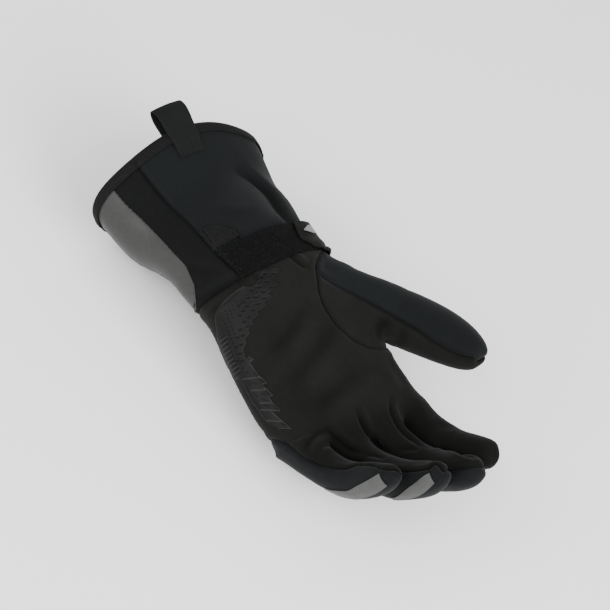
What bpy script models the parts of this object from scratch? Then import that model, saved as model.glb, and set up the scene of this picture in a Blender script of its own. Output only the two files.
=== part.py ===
"""Heated gauntlet glove for the left hand, lying on its back with the palm up.

Metres, +Z up. +Y runs from the cuff's opening to the fingertips, and the thumb is on the -X side.
A coarse cage of the whole glove is worked out from the sizes and tables below and smoothed once. Its faces are
then sorted into the cloth panels, and each panel gets its wall. Tapes and patches lie on that same surface.
"""

import math
from collections import namedtuple

import bmesh
import bpy
from mathutils import Matrix, Vector
from mathutils.bvhtree import BVHTree

MM = 0.001

# Driving sizes of the glove
CUFF_LENGTH = 75 * MM  # opening to the wrist
HAND_LENGTH = 116 * MM  # wrist to the roots of the fingers
RIM_WIDTH = 126 * MM
RIM_HEIGHT = 80 * MM
WRIST_WIDTH = 96 * MM
WRIST_HEIGHT = 58 * MM
HAND_WIDTH = 112 * MM
HAND_HEIGHT = 50 * MM
WRIST_SHIFT = 10 * MM  # how far the wrist lies to the little-finger side of the hand
RIM_BOW = 7.5 * MM  # how far the opening's edge arches away from the hand on the palm side
RIM_SKEW = -4.5 * MM  # and its little-finger side nearer the hand than its thumb side
RIM_SHOULDER = 0.06  # share by which the opening's shoulders fall inside an oval
ARCH_RISE = 19.5 * MM  # how high the back of the wrist stands off the floor
CUFF_TILT = 5  # degrees that the cuff's sections lean away from the hand
HAND_TILT = -12
PALM_CUP = 5 * MM
FINGER_LENGTH = 88 * MM
FINGER_WIDTH = 25.5 * MM
FINGER_DEPTH = 26 * MM
ROOT_BULGE = 2 * MM  # how far the sides of the hand reach past the outer fingers' roots
THUMB_LENGTH = 87 * MM
THUMB_WIDTH = 38 * MM
THUMB_DEPTH = 35 * MM
FOLD_WIDTH = 6 * MM
FOLD_HEIGHT = 2 * MM

# Cloth and tape
WALL = 2.8 * MM  # shell, wadding and lining together
SEAM_GAP = 0.5 * MM
LAY_GAP = 0.35 * MM  # under what is sewn on top
DRAPE_GAP = 0.9 * MM  # under a patch whose facets don't match the cloth's
BINDING_THICKNESS = 1.2 * MM
STRAP_THICKNESS = 1.8 * MM
TAB_THICKNESS = 1.4 * MM
PATCH_THICKNESS = 0.8 * MM
FILM_THICKNESS = 0.5 * MM
TAPE_THICKNESS = 1.1 * MM
TAPE_WIDTH = 20 * MM
LOOP_HEIGHT = 17 * MM  # above the opening's edge
LOOP_FOOT = 16 * MM  # sewn down below it
LOOP_TURN = 82

# The cage has 20 columns round the glove: 9 points on the palm side, 9 on the back and one on each side. A turn
# is in degrees, 0 on the little finger's side and 90 on the palm.
FIRST_TURN = 150
SEAM_COLUMN = 5
SIDE_COLUMN = 9
THUMB_SIDE_TURN = 180

# Sections of the body. Flare runs from 0 at the wrist's size to 1 at the rim's or the hand's.
Section = namedtuple("Section", "name zone along aside flare lift cut tilt cup seam_turn side_turn")
SECTIONS = (
    Section("rim", "cuff", 0.00, 0.56, 1.00, 0.11, 1.00, CUFF_TILT, 0.0, 45, -32),
    Section("under_rim", "cuff", 0.17, 0.45, 0.90, 0.00, 0.88, CUFF_TILT, 0.0, 46, -34),
    Section("cuff_wide", "cuff", 0.38, 0.20, 0.66, -0.24, 0.62, CUFF_TILT, 0.0, 49.5, -38),
    Section("cuff_mid", "cuff", 0.58, 0.30, 0.38, 0.36, 0.36, CUFF_TILT, 0.0, 47.5, -42),
    Section("cuff_low", "cuff", 0.75, 0.65, 0.14, 0.80, 0.14, CUFF_TILT * 0.7, 0.0, 47, -46),
    Section("strap_top", "cuff", 0.92, 0.98, 0.02, 1.00, 0.02, 0, 0.0, 49, -48),
    Section("strap_foot", "hand", 0.115, 0.92, 0.04, 0.97, 0.00, HAND_TILT * 0.5, 0.0, 59, -54),
    Section("heel", "hand", 0.22, 0.35, 0.28, 0.80, 0.00, HAND_TILT, 0.1, 53, -60),
    Section("thumb_mid", "hand", 0.40, 0.25, 0.66, 0.46, 0.00, HAND_TILT, 0.6, 50, -60),
    Section("thumb_end", "hand", 0.60, 0.10, 0.90, 0.16, 0.00, HAND_TILT, 1.0, 56, -56),
    Section("palm_high", "hand", 0.78, 0.00, 1.00, -0.12, 0.00, HAND_TILT, 0.8, 66, -42),
    Section("knuckles", "hand", 0.92, 0.00, 1.00, -0.18, 0.00, HAND_TILT, 0.3, 75, 6),
)
# Corners of the cage moved on to the seam round the thumb's base
Nudge = namedtuple("Nudge", "section column turn shift")
NUDGES = (
    Nudge("heel", 0, 148, -0.017),
    Nudge("heel", 2, 122, 0.009),
    Nudge("heel", 3, 110, 0.026),
    Nudge("thumb_mid", 3, 100, 0),
    Nudge("thumb_end", 3, 107, -0.012),
    Nudge("thumb_end", 2, 117, 0.04),
    Nudge("thumb_end", 1, 131, 0.075),
)

# Fingers, from the one by the thumb. Width, root and length are shares of the hand's width and length and of the
# finger length above.
Finger = namedtuple("Finger", "name width root length pitch bend spread girth")
FINGERS = (
    Finger("index", 0.265, 1.010, 0.87, 12.5, 47, 1, 1.00),
    Finger("middle", 0.260, 1.045, 1.01, 13, 54, -0.5, 1.02),
    Finger("ring", 0.250, 1.005, 1.06, 13, 62, -0.5, 0.97),
    Finger("little", 0.225, 0.915, 0.97, 11, 66, -2.5, 0.88),
)

# The fingers' roots, as shares of the hand's width, height and length
ROOT_SPAN = 0.93
ROOT_TOP = 0.93
ROOT_FLOOR = 0.04
ROOT_ROUNDING = 0.26
WEB_DIP = 0.13
WEB_STEP = 0.015
BACK_STEP = 0.05
WEB_REACH = 0.045

# What is laid on the body. Along is how far from the wrist, as a share of the cuff's length before it and of the
# hand's after it. The patch lies there between two turns.
Edge = namedtuple("Edge", "along start end")
REFLECTIVE_EDGES = (
    Edge(-0.89, 19, -41),
    Edge(-0.73, 24, -39),
    Edge(-0.64, 24.5, -38),
    Edge(-0.55, 25, -38),
    Edge(-0.45, 22.5, -39),
    Edge(-0.35, 20, -40),
    Edge(-0.16, 17, -42),
    Edge(-0.09, 13.5, -43),
    Edge(-0.02, 10, -44),
    Edge(0.01, 6.5, -44.5),
    Edge(0.04, 2, -45),
    Edge(0.075, -14, -45),
)
INSERT_EDGES = (
    Edge(-0.305, 56, 51.5),
    Edge(-0.27, 62, 51),
    Edge(-0.22, 68, 50.6),
    Edge(-0.16, 72, 50.8),
    Edge(-0.10, 73, 51.8),
)
TAB_EDGES = (
    Edge(-0.05, 230, 121),
    Edge(0.008, 234, 117),
    Edge(0.072, 234, 115),
    Edge(0.122, 232, 121),
    Edge(0.14, 230, 135),
)
TRIANGLE_EDGES = (
    Edge(-0.002, 139, 134),
    Edge(0.018, 140, 127),
    Edge(0.03, 140.5, 123),
    Edge(0.048, 142, 136),
)
HEEL_EDGES = (
    Edge(0.16, 80, 68),
    Edge(0.185, 82.5, 24),
    Edge(0.235, 75, 0),
    Edge(0.29, 67, -13),
    Edge(0.348, 58, -14),
    Edge(0.40, 49, -8),
    Edge(0.422, 43, -5),
)
STRIP_EDGES = (
    Edge(0.448, 21, -4),
    Edge(0.50, 25, -1),
    Edge(0.59, 29, 7),
    Edge(0.69, 32, 14),
    Edge(0.79, 32, 23),
    Edge(0.835, 32, 29),
)
TOOTH = 5  # degrees that the grip patches' teeth reach out

# What is laid on the fingers' backs. Along is a share of the finger's length.
LITTLE_EDGES = (
    Edge(0.36, -24, -32),
    Edge(0.46, -16, -44),
    Edge(0.56, -8, -44),
    Edge(0.66, 5, -42),
    Edge(0.79, 16, -38),
    Edge(0.92, 29, -36),
)
RING_EDGES = (
    Edge(0.56, -34, -42),
    Edge(0.66, -17, -44),
    Edge(0.76, 0, -40),
    Edge(0.88, 18, -29),
    Edge(0.94, 27, -25),
)

# Folds pressed into the cloth along lines of (turn, along). Width and height are shares of the two sizes above.
Fold = namedtuple("Fold", "name width height line")
FOLDS = (
    Fold("cuff_crease", 1.0, -1.6, ((106, -0.71), (113, -0.55), (118, -0.39), (120, -0.24))),
    Fold("cuff_crease_lip", 1.2, 0.9, ((122, -0.69), (130, -0.51), (136, -0.32), (138, -0.16))),
    Fold("cuff_soft", 1.2, 0.8, ((69, -0.36), (85, -0.28), (101, -0.19))),
    Fold("side_gather", 1.0, -1.0, ((2, -0.19), (14, -0.03), (27, 0.07), (38, 0.10))),
    Fold("side_gather_lip", 1.0, 0.7, ((-14, -0.11), (-2, 0.03), (12, 0.10))),
    Fold("palm_hollow", 2.5, -1.0, ((74, 0.43), (86, 0.55), (95, 0.69))),
    Fold("palm_roll", 1.3, 0.7, ((62, 0.57), (74, 0.71), (84, 0.79))),
    Fold("little_root", 1.0, -0.9, ((34, 0.74), (48, 0.79), (60, 0.83))),
)

# Rings along a finger: place, share of the bend done there, width and depth.
Ring = namedtuple("Ring", "along bent width depth")
FINGER_RINGS = (
    Ring(0.16, 0.08, 0.97, 1.06),
    Ring(0.38, 0.34, 0.97, 1.00),
    Ring(0.60, 0.66, 0.97, 0.98),
    Ring(0.83, 0.92, 0.90, 0.88),
    Ring(0.97, 1.00, 0.62, 0.60),
)
FINGER_TURNS = (135, 90, 45, 0, -45, -90, -135, 180)

# Rings along the thumb. Sideways and rise are its direction there, in degrees from +Y and from the floor.
ThumbRing = namedtuple("ThumbRing", "along sideways rise width depth twist")
THUMB_RINGS = (
    ThumbRing(0.18, 50, 12, 0.94, 1.08, 14),
    ThumbRing(0.34, 32, 16, 1.00, 1.02, 34),
    ThumbRing(0.54, 19, 19, 0.95, 0.97, 54),
    ThumbRing(0.74, 12, 22, 0.85, 0.88, 66),
    ThumbRing(0.90, 6, 20, 0.66, 0.70, 72),
    ThumbRing(0.98, 6, 18, 0.40, 0.42, 74),
)
THUMB_TURNS = (126, 162, 198, 234, 270, 306, 342, 18, 54, 90)

PANELS = (
    ("palm", "suede"),
    ("hand_back", "softshell"),
    ("thumb_front", "suede"),
    ("thumb_back", "softshell"),
    ("cuff_front", "softshell"),
    ("cuff_side", "stretch"),
    ("cuff_back", "softshell"),
)
PALM, HAND_BACK, THUMB_FRONT, THUMB_BACK, CUFF_FRONT, CUFF_SIDE, CUFF_BACK = range(len(PANELS))
STRAP_COLUMNS = (16, 17, 18, 19, 0, 1, 2, 3, 4)

Cloth = namedtuple("Cloth", "colour roughness metallic")
CLOTHS = {
    "suede": Cloth((0.020, 0.020, 0.018), 0.85, 0.0),
    "softshell": Cloth((0.026, 0.030, 0.033), 0.80, 0.0),
    "stretch": Cloth((0.014, 0.014, 0.013), 0.85, 0.0),
    "reflective": Cloth((0.20, 0.20, 0.19), 0.45, 0.1),
    "tape": Cloth((0.010, 0.011, 0.010), 0.90, 0.0),
    "pile": Cloth((0.006, 0.006, 0.006), 0.95, 0.0),
    "silicone": Cloth((0.030, 0.030, 0.030), 0.50, 0.0),
    "net": Cloth((0.020, 0.021, 0.021), 0.80, 0.0),
}


def clear_scene():
    for old in list(bpy.data.objects):
        bpy.data.objects.remove(old, do_unlink=True)


def cloth(name):
    """The material of this cloth, made at its first use."""
    found = bpy.data.materials.get(name)
    if found:
        return found
    made = bpy.data.materials.new(name)
    made.use_nodes = True
    shader = made.node_tree.nodes["Principled BSDF"]
    kind = CLOTHS[name]
    shader.inputs["Base Color"].default_value = (*kind.colour, 1)
    shader.inputs["Roughness"].default_value = kind.roughness
    shader.inputs["Metallic"].default_value = kind.metallic
    return made


def mixed(low, high, share):
    return low + (high - low) * share


def spread_over(low, high, count):
    """This many values from low to high."""
    return [mixed(low, high, k / (count - 1)) for k in range(count)]


def from_wrist(along):
    """How far from the opening a place is whose distance from the wrist is this share of the cuff or the hand."""
    return CUFF_LENGTH + along * (CUFF_LENGTH if along < 0 else HAND_LENGTH)


def section_place(section):
    """(y, centre's x, half the width, lowest z, highest z) of a body section."""
    if section.zone == "cuff":
        y = section.along * CUFF_LENGTH
        width = mixed(WRIST_WIDTH, RIM_WIDTH, section.flare)
        height = mixed(WRIST_HEIGHT, RIM_HEIGHT, section.flare)
    else:
        y = CUFF_LENGTH + section.along * HAND_LENGTH
        width = mixed(WRIST_WIDTH, HAND_WIDTH, section.flare)
        height = mixed(WRIST_HEIGHT, HAND_HEIGHT, section.flare)
    low = section.lift * ARCH_RISE
    return y, section.aside * WRIST_SHIFT, width / 2, low, low + height


def body_point(section, turn):
    """A point of a body section, at a turn of 0 on the little finger's side and 90 on the palm."""
    y, centre, half, low, high = section_place(section)
    across, up = math.cos(math.radians(turn)), math.sin(math.radians(turn))
    if up > 0:
        narrowing = 1 - section.cut * RIM_SHOULDER * math.sin(math.radians(2 * turn)) ** 2
        across, up = across * narrowing, up * narrowing
    middle = (low + high) / 2
    x = centre + half * across
    z = middle + (high - low) / 2 * up
    if up > 0:
        z -= section.cup * PALM_CUP * up * math.exp(-((across / 0.55) ** 2))
        y -= section.cut * RIM_BOW * up**3
    y += section.cut * RIM_SKEW * across - math.tan(math.radians(section.tilt)) * (z - middle)
    return Vector((x, y, z))


def body_ring(section):
    turns = spread_over(FIRST_TURN, section.seam_turn, SEAM_COLUMN + 1)[:-1]
    turns += spread_over(section.seam_turn, section.side_turn, SIDE_COLUMN - SEAM_COLUMN + 1)[:-1]
    turns += spread_over(section.side_turn + 360, THUMB_SIDE_TURN, 11)
    ring = [body_point(section, turn) for turn in turns]
    for nudge in NUDGES:
        if nudge.section == section.name:
            ring[nudge.column] = body_point(section, nudge.turn) + Vector((0, nudge.shift * HAND_LENGTH, 0))
    return ring


def finger_edges():
    """The places across the hand where the fingers meet, from the thumb's side, and each place's root."""
    span = HAND_WIDTH * ROOT_SPAN
    across = [-span / 2]
    for finger in FINGERS:
        across.append(across[-1] + finger.width * span)
    roots = [finger.root for finger in FINGERS]
    shared = [roots[0], *[(a + b) / 2 for a, b in zip(roots, roots[1:])], roots[-1]]
    return across, shared


def root_ring():
    """The cage's last ring of the body, where the four fingers leave it."""
    across, shared = finger_edges()
    top, back = [], []
    for i, finger in enumerate(FINGERS):
        for x, root in ((across[i], shared[i]), ((across[i] + across[i + 1]) / 2, finger.root)):
            top.append((x, root))
            back.append((x, root))
    top.append((across[4], shared[4]))
    back.append((across[4], shared[4]))
    high, low = HAND_HEIGHT * ROOT_TOP, HAND_HEIGHT * ROOT_FLOOR

    def place(column, x, root, is_top):
        web = column % 2 == 0 and 0 < column < 8
        root += (WEB_STEP if web else 0.0) - (0.0 if is_top else BACK_STEP)
        sink = HAND_HEIGHT * ((WEB_DIP if web else 0.0) + (2 * abs(x) / HAND_WIDTH) ** 4 * ROOT_ROUNDING)
        return Vector((x, CUFF_LENGTH + HAND_LENGTH * root, high - sink if is_top else low + sink))

    def side(x, root):
        return Vector((x, CUFF_LENGTH + HAND_LENGTH * root, (high + low) / 2))

    ring = [place(k, *top[k], True) for k in range(9)]
    ring.append(side(across[4] + ROOT_BULGE, FINGERS[3].root - WEB_STEP))
    ring += [place(k, *back[k], False) for k in reversed(range(9))]
    ring.append(side(across[0] - ROOT_BULGE, FINGERS[0].root))
    return ring


def web_points():
    """Where neighbouring fingers part, half way up."""
    across, shared = finger_edges()
    middle = HAND_HEIGHT * 0.5
    return [
        Vector((across[k], CUFF_LENGTH + HAND_LENGTH * (shared[k] + WEB_REACH), middle)) for k in (1, 2, 3)
    ]


def finger_direction(spread, pitch):
    spread, pitch = math.radians(spread), math.radians(pitch)
    return Vector((math.sin(spread) * math.cos(pitch), math.cos(spread) * math.cos(pitch), math.sin(pitch)))


def finger_rings(finger, loop):
    """The rings of eight points along one finger, starting from its loop on the root ring."""
    place = sum((v for v in loop), Vector()) / len(loop)
    aside = Vector((math.cos(math.radians(finger.spread)), -math.sin(math.radians(finger.spread)), 0))
    rings, along, bent = [], 0.0, 0.0
    for ring in FINGER_RINGS:
        pitch = finger.pitch + finger.bend * (bent + ring.bent) / 2
        step = FINGER_LENGTH * finger.length * (ring.along - along)
        place = place + finger_direction(finger.spread, pitch) * step
        along, bent = ring.along, ring.bent
        up = aside.cross(finger_direction(finger.spread, finger.pitch + finger.bend * ring.bent))
        half_width = FINGER_WIDTH / 2 * finger.girth * ring.width * 1.08
        half_depth = FINGER_DEPTH / 2 * finger.girth * ring.depth * 1.08
        rings.append(
            [
                place
                + aside * half_width * math.cos(math.radians(turn))
                + up * half_depth * math.sin(math.radians(turn))
                for turn in FINGER_TURNS
            ]
        )
    return rings


def thumb_rings(loop):
    """The rings of ten points along the thumb, starting from its hole in the side of the hand."""
    place = sum((v for v in loop), Vector()) / len(loop)
    rings, along = [], 0.0
    for ring in THUMB_RINGS:
        direction = finger_direction(-ring.sideways, ring.rise)
        place = place + direction * THUMB_LENGTH * (ring.along - along)
        along = ring.along
        inward = Vector((1, 0.2, -0.35))
        inward = (inward - direction * inward.dot(direction)).normalized()
        palmward = inward.cross(direction)
        if palmward.z < 0:
            palmward = -palmward
        half_width = THUMB_WIDTH / 2 * ring.width * 1.05
        half_depth = THUMB_DEPTH / 2 * ring.depth * 1.05
        rings.append(
            [
                place
                + inward * half_width * math.cos(math.radians(turn - ring.twist))
                + palmward * half_depth * math.sin(math.radians(turn - ring.twist))
                for turn in THUMB_TURNS
            ]
        )
    return rings


def body_panel(step, column):
    """The panel of the body's face after this section and column."""
    section = SECTIONS[step]
    if section.zone == "cuff":
        if column < SEAM_COLUMN or column == 19:
            return CUFF_FRONT
        return CUFF_SIDE if column < SIDE_COLUMN else CUFF_BACK
    if section.name in ("heel", "thumb_mid") and column in (1, 2):
        return THUMB_FRONT
    if section.name == "knuckles" and column == 8:
        return HAND_BACK
    return PALM if column < 9 or column == 19 else HAND_BACK


def glove_cage():
    """The coarse cage, as a bmesh whose faces carry their panel, and their section and column on the body."""
    mesh = bmesh.new()
    panel_of = mesh.faces.layers.int.new("panel")
    step_of = mesh.faces.layers.int.new("step")
    column_of = mesh.faces.layers.int.new("column")

    def face(verts, panel, step=-1, column=-1):
        made = mesh.faces.new(verts)
        made[panel_of], made[step_of], made[column_of] = panel, step, column

    def band(ring, following, panels, step=-1):
        count = len(ring)
        for k in range(count):
            after = (k + 1) % count
            face((ring[k], ring[after], following[after], following[k]), panels[k], step, k)

    points = [body_ring(section) for section in SECTIONS] + [root_ring()]
    rows = [[mesh.verts.new(p) for p in ring] for ring in points]
    columns = len(rows[0])
    heel = [section.name for section in SECTIONS].index("heel")
    thumb_columns = (0, 19, 18)
    for step in range(len(rows) - 1):
        for column in range(columns):
            if step in (heel, heel + 1) and column in thumb_columns:
                continue
            after = (column + 1) % columns
            corners = (rows[step][column], rows[step][after], rows[step + 1][after], rows[step + 1][column])
            face(corners, body_panel(step, column), step, column)
    mesh.verts.remove(rows[heel + 1][0])
    mesh.verts.remove(rows[heel + 1][19])

    # Thumb, from the hole's ten points
    first, second, third = rows[heel], rows[heel + 1], rows[heel + 2]
    loop = [first[1], first[0], first[19], first[18], second[18], third[18], third[19], third[0], third[1], second[1]]
    thumb_panels = [THUMB_BACK] * 5 + [THUMB_FRONT] * 5
    for ring in thumb_rings([v.co for v in loop]):
        following = [mesh.verts.new(p) for p in ring]
        band(loop, following, thumb_panels)
        loop = following
    tip = sum((v.co for v in loop), Vector()) / len(loop)
    reach = (loop[0].co - loop[3].co) * 0.12
    near, far = mesh.verts.new(tip + reach), mesh.verts.new(tip - reach)
    a = loop
    for corners, panel in (
        ((a[0], a[1], near, a[9]), THUMB_BACK),
        ((a[1], a[2], far, near), THUMB_BACK),
        ((a[2], a[3], a[4], far), THUMB_BACK),
        ((a[9], near, a[7], a[8]), THUMB_FRONT),
        ((near, far, a[6], a[7]), THUMB_FRONT),
        ((far, a[4], a[5], a[6]), THUMB_FRONT),
    ):
        face(corners, panel)

    # Fingers, from the root ring
    last = rows[-1]
    webs = [last[19], *[mesh.verts.new(p) for p in web_points()], last[9]]
    for i, finger in enumerate(FINGERS):
        left = 2 * i
        loop = [last[left], last[left + 1], last[left + 2], webs[i + 1]]
        loop += [last[18 - left - 2], last[18 - left - 1], last[18 - left], webs[i]]
        high_seam = finger.name in ("ring", "little")  # the back reaches round their little-finger side
        for k, ring in enumerate(finger_rings(finger, [v.co for v in loop])):
            following = [mesh.verts.new(p) for p in ring]
            side = HAND_BACK if high_seam and (k > 0 or finger.name == "little") else PALM
            band(loop, following, [PALM, PALM, side, HAND_BACK, HAND_BACK, HAND_BACK, HAND_BACK, PALM])
            loop = following
        tip = mesh.verts.new(sum((v.co for v in loop), Vector()) / len(loop))
        a = loop
        face((a[0], a[1], tip, a[7]), PALM)
        face((a[1], a[2], a[3], tip), side)
        face((tip, a[3], a[4], a[5]), HAND_BACK)
        face((a[7], tip, a[5], a[6]), HAND_BACK)
    bmesh.ops.recalc_face_normals(mesh, faces=mesh.faces)
    return mesh


def from_line(place, line):
    """How far a place is from a line of places."""
    nearest = math.inf
    for a, b in zip(line, line[1:]):
        along = b - a
        share = min(1.0, max(0.0, (place - a).dot(along) / along.length_squared))
        nearest = min(nearest, (place - a - along * share).length)
    return nearest


def folded(shell):
    """Presses the folds of the table into the shell, and flattens it where it lies on the floor."""
    shell.normal_update()
    tree = BVHTree.FromBMesh(shell)
    pushes = [0.0] * len(shell.verts)
    shell.verts.index_update()
    for fold in FOLDS:
        line = [on_body(tree, turn, from_wrist(along)) for turn, along in fold.line]
        for vert in shell.verts:
            away = from_line(vert.co, line) / (fold.width * FOLD_WIDTH)
            pushes[vert.index] += fold.height * FOLD_HEIGHT * math.exp(-away * away)
    for vert, push in zip(shell.verts, pushes):
        vert.co += vert.normal * push
        vert.co.z = max(vert.co.z, 0.0)
    shell.normal_update()
    return shell


def smoothed(cage):
    """The cage after one step of smoothing, with its folds."""
    mesh = bpy.data.meshes.new("cage")
    cage.to_mesh(mesh)
    holder = bpy.data.objects.new("cage", mesh)
    bpy.context.scene.collection.objects.link(holder)
    smooth = holder.modifiers.new("smooth", "SUBSURF")
    smooth.levels = smooth.render_levels = 1
    graph = bpy.context.evaluated_depsgraph_get()
    shell = bmesh.new()
    shell.from_mesh(holder.evaluated_get(graph).to_mesh())
    bpy.data.objects.remove(holder, do_unlink=True)
    return folded(shell)


def drawn_back(vert, chosen):
    """The way from a corner of the chosen faces into them, one unit away from each seam that meets there."""
    ways = []
    for edge in vert.link_edges:
        mine = [f for f in edge.link_faces if f in chosen]
        if len(mine) == 1 and len(edge.link_faces) == 2:
            way = vert.normal.cross(edge.other_vert(vert).co - vert.co).normalized()
            inside = mine[0].calc_center_median() - vert.co
            ways.append(way if way.dot(inside) > 0 else -way)
    if len(ways) == 2:
        return (ways[0] + ways[1]) / max(0.35, 1 + ways[0].dot(ways[1]))
    if len(ways) == 1:  # a seam that ends at the opening: keep to the opening's edge
        edge = next(e for e in vert.link_edges if len(e.link_faces) == 1 and e.link_faces[0] in chosen)
        along = (edge.other_vert(vert).co - vert.co).normalized()
        return along / max(0.35, along.dot(ways[0]))
    return Vector()


def walled(name, sheet, faces, low, high, cloth_name, gap=0.0):
    """A solid of these faces of a sheet, from low to high above it, drawn back by half the gap from its seams."""
    chosen = set(faces)
    mesh = bmesh.new()
    under, over = {}, {}
    for vert in {v for f in faces for v in f.verts}:
        place = vert.co + drawn_back(vert, chosen) * gap / 2
        under[vert] = mesh.verts.new(place + vert.normal * low)
        over[vert] = mesh.verts.new(place + vert.normal * high)
    for f in faces:
        mesh.faces.new([over[v] for v in f.verts])
        mesh.faces.new([under[v] for v in reversed(f.verts)])
        for loop in f.loops:
            if sum(other in chosen for other in loop.edge.link_faces) == 1:
                # Both sides of a seam share the same diagonal
                a, b = loop.vert, loop.link_loop_next.vert
                if (a.co.y, a.co.x) < (b.co.y, b.co.x):
                    mesh.faces.new((over[b], over[a], under[b]))
                    mesh.faces.new((over[a], under[a], under[b]))
                else:
                    mesh.faces.new((over[b], over[a], under[a]))
                    mesh.faces.new((over[b], under[a], under[b]))
    return object_of(name, mesh, cloth_name)


def object_of(name, mesh, cloth_name):
    data = bpy.data.meshes.new(name)
    mesh.to_mesh(data)
    mesh.free()
    made = bpy.data.objects.new(name, data)
    bpy.context.scene.collection.objects.link(made)
    data.materials.append(cloth(cloth_name))
    data.shade_smooth()
    data.set_sharp_from_angle(angle=math.radians(40))
    return made


def grid_object(name, rows, low, high, cloth_name):
    """A thin solid over a grid of places, given outside up when a row runs against the turns."""
    sheet = bmesh.new()
    verts = [[sheet.verts.new(p) for p in row] for row in rows]
    for first, second in zip(verts, verts[1:]):
        for k in range(len(first) - 1):
            sheet.faces.new((first[k], first[k + 1], second[k + 1], second[k]))
    sheet.normal_update()
    made = walled(name, sheet, list(sheet.faces), low, high, cloth_name)
    sheet.free()
    return made


def between(table, key, value):
    """The row pair of a table round this value of the key, and the share of the way between them."""
    for first, second in zip(table, table[1:]):
        if key(second) >= value or second is table[-1]:
            span = key(second) - key(first)
            return first, second, (value - key(first)) / span if span else 0.0
    return table[0], table[0], 0.0


def on_body(tree, turn, y):
    """The place on the body's outside at this turn and this distance from the opening."""
    first, second, share = between([section_place(s) for s in SECTIONS], lambda place: place[0], y)
    centre_x, half, low, high = [mixed(a, b, share) for a, b in zip(first[1:], second[1:])]
    centre = Vector((centre_x, y, (low + high) / 2))
    turn = math.radians(turn)
    aim = Vector((half * math.cos(turn), 0, (high - low) / 2 * math.sin(turn))).normalized()
    return tree.ray_cast(centre, aim)[0]


def on_finger(tree, rings, along, turn):
    """The place on a finger's outside at this share of its length and this turn."""
    table = list(zip(FINGER_RINGS, rings))
    first, second, share = between(table, lambda pair: pair[0].along, along)
    points = [a.lerp(b, share) for a, b in zip(first[1], second[1])]
    centre = sum(points, Vector()) / len(points)
    aside, up = (points[3] - points[7]).normalized(), (points[1] - points[5]).normalized()
    turn = math.radians(turn)
    return tree.ray_cast(centre, aside * math.cos(turn) + up * math.sin(turn))[0]


def patch_rows(table, count, steps, tooth=0):
    """(along, turns) rows of a patch: each gap of its table in this many steps, each row with count turns.

    With a tooth, every second row reaches that much further at its first end.
    """
    rows = []
    for first, second in zip(table, table[1:]):
        for k in range(steps):
            rows.append([mixed(a, b, k / steps) for a, b in zip(first, second)])
    rows.append(list(table[-1]))
    return [
        (along, spread_over(start + (tooth if k % 2 else 0), end, count)) for k, (along, start, end) in enumerate(rows)
    ]


def body_patch(name, tree, table, count, steps, height, cloth_name, under=DRAPE_GAP, tooth=0):
    """A patch of this thickness laid on the body, over the gap under it."""
    rows = [
        [on_body(tree, turn, from_wrist(along)) for turn in turns]
        for along, turns in patch_rows(table, count, steps, tooth)
    ]
    return grid_object(name, rows, under, under + height, cloth_name)


def finger_patch(name, tree, index, table, cloth_name):
    last, webs = root_ring(), web_points()
    left = 2 * index
    around = [last[19], *webs, last[9]]
    loop = [last[left], last[left + 1], last[left + 2], around[index + 1]]
    loop += [last[16 - left], last[17 - left], last[18 - left], around[index]]
    rings = finger_rings(FINGERS[index], loop)
    rows = [[on_finger(tree, rings, along, turn) for turn in turns] for along, turns in patch_rows(table, 6, 2)]
    return grid_object(name, rows, DRAPE_GAP, DRAPE_GAP + FILM_THICKNESS, cloth_name)


def rim_loop(shell):
    """The opening's edge, as (turn, place, normal, place and normal one ring further in), in order of turn."""
    _, centre_x, half, low, high = section_place(SECTIONS[0])
    found = []
    for vert in shell.verts:
        if not vert.is_boundary:
            continue
        inner = next(e.other_vert(vert) for e in vert.link_edges if not e.is_boundary)
        across = (vert.co.x - centre_x) / half
        up = (vert.co.z - (low + high) / 2) / ((high - low) / 2)
        found.append((math.degrees(math.atan2(up, across)), vert.co, vert.normal, inner.co, inner.normal))
    return sorted(found, key=lambda item: item[0])


def cuff_binding(rim):
    """The tape folded over the opening's edge."""
    reach = 0.78  # of the way to the next ring
    out, deep = LAY_GAP, -WALL - LAY_GAP
    thick = BINDING_THICKNESS
    profile = (  # (distance in from the edge as a share of the reach, distance beyond the edge, height)
        (1.0, 0.0, out),
        (1.0, 0.0, out + thick),
        (0.0, 0.0, out + thick),
        (0.0, LAY_GAP + thick, -0.2 * WALL),
        (0.0, LAY_GAP + thick, -0.8 * WALL),
        (0.0, 0.0, deep - thick),
        (1.0, 0.0, deep - thick),
        (1.0, 0.0, deep),
        (0.0, LAY_GAP, deep),
        (0.0, LAY_GAP, out),
    )
    mesh = bmesh.new()
    rings = []
    for _, place, normal, inner, inner_normal in rim:
        inward = (inner - place).normalized()
        ring = []
        for share, beyond, height in profile:
            base = place.lerp(inner, share * reach)
            lift = normal.lerp(inner_normal, share * reach).normalized()
            ring.append(mesh.verts.new(base - inward * beyond + lift * height))
        rings.append(ring)
    for k, ring in enumerate(rings):
        following = rings[(k + 1) % len(rings)]
        for i in range(len(profile)):
            after = (i + 1) % len(profile)
            mesh.faces.new((ring[i], ring[after], following[after], following[i]))
    bmesh.ops.recalc_face_normals(mesh, faces=mesh.faces)
    return object_of("cuff_binding", mesh, "tape")


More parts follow.
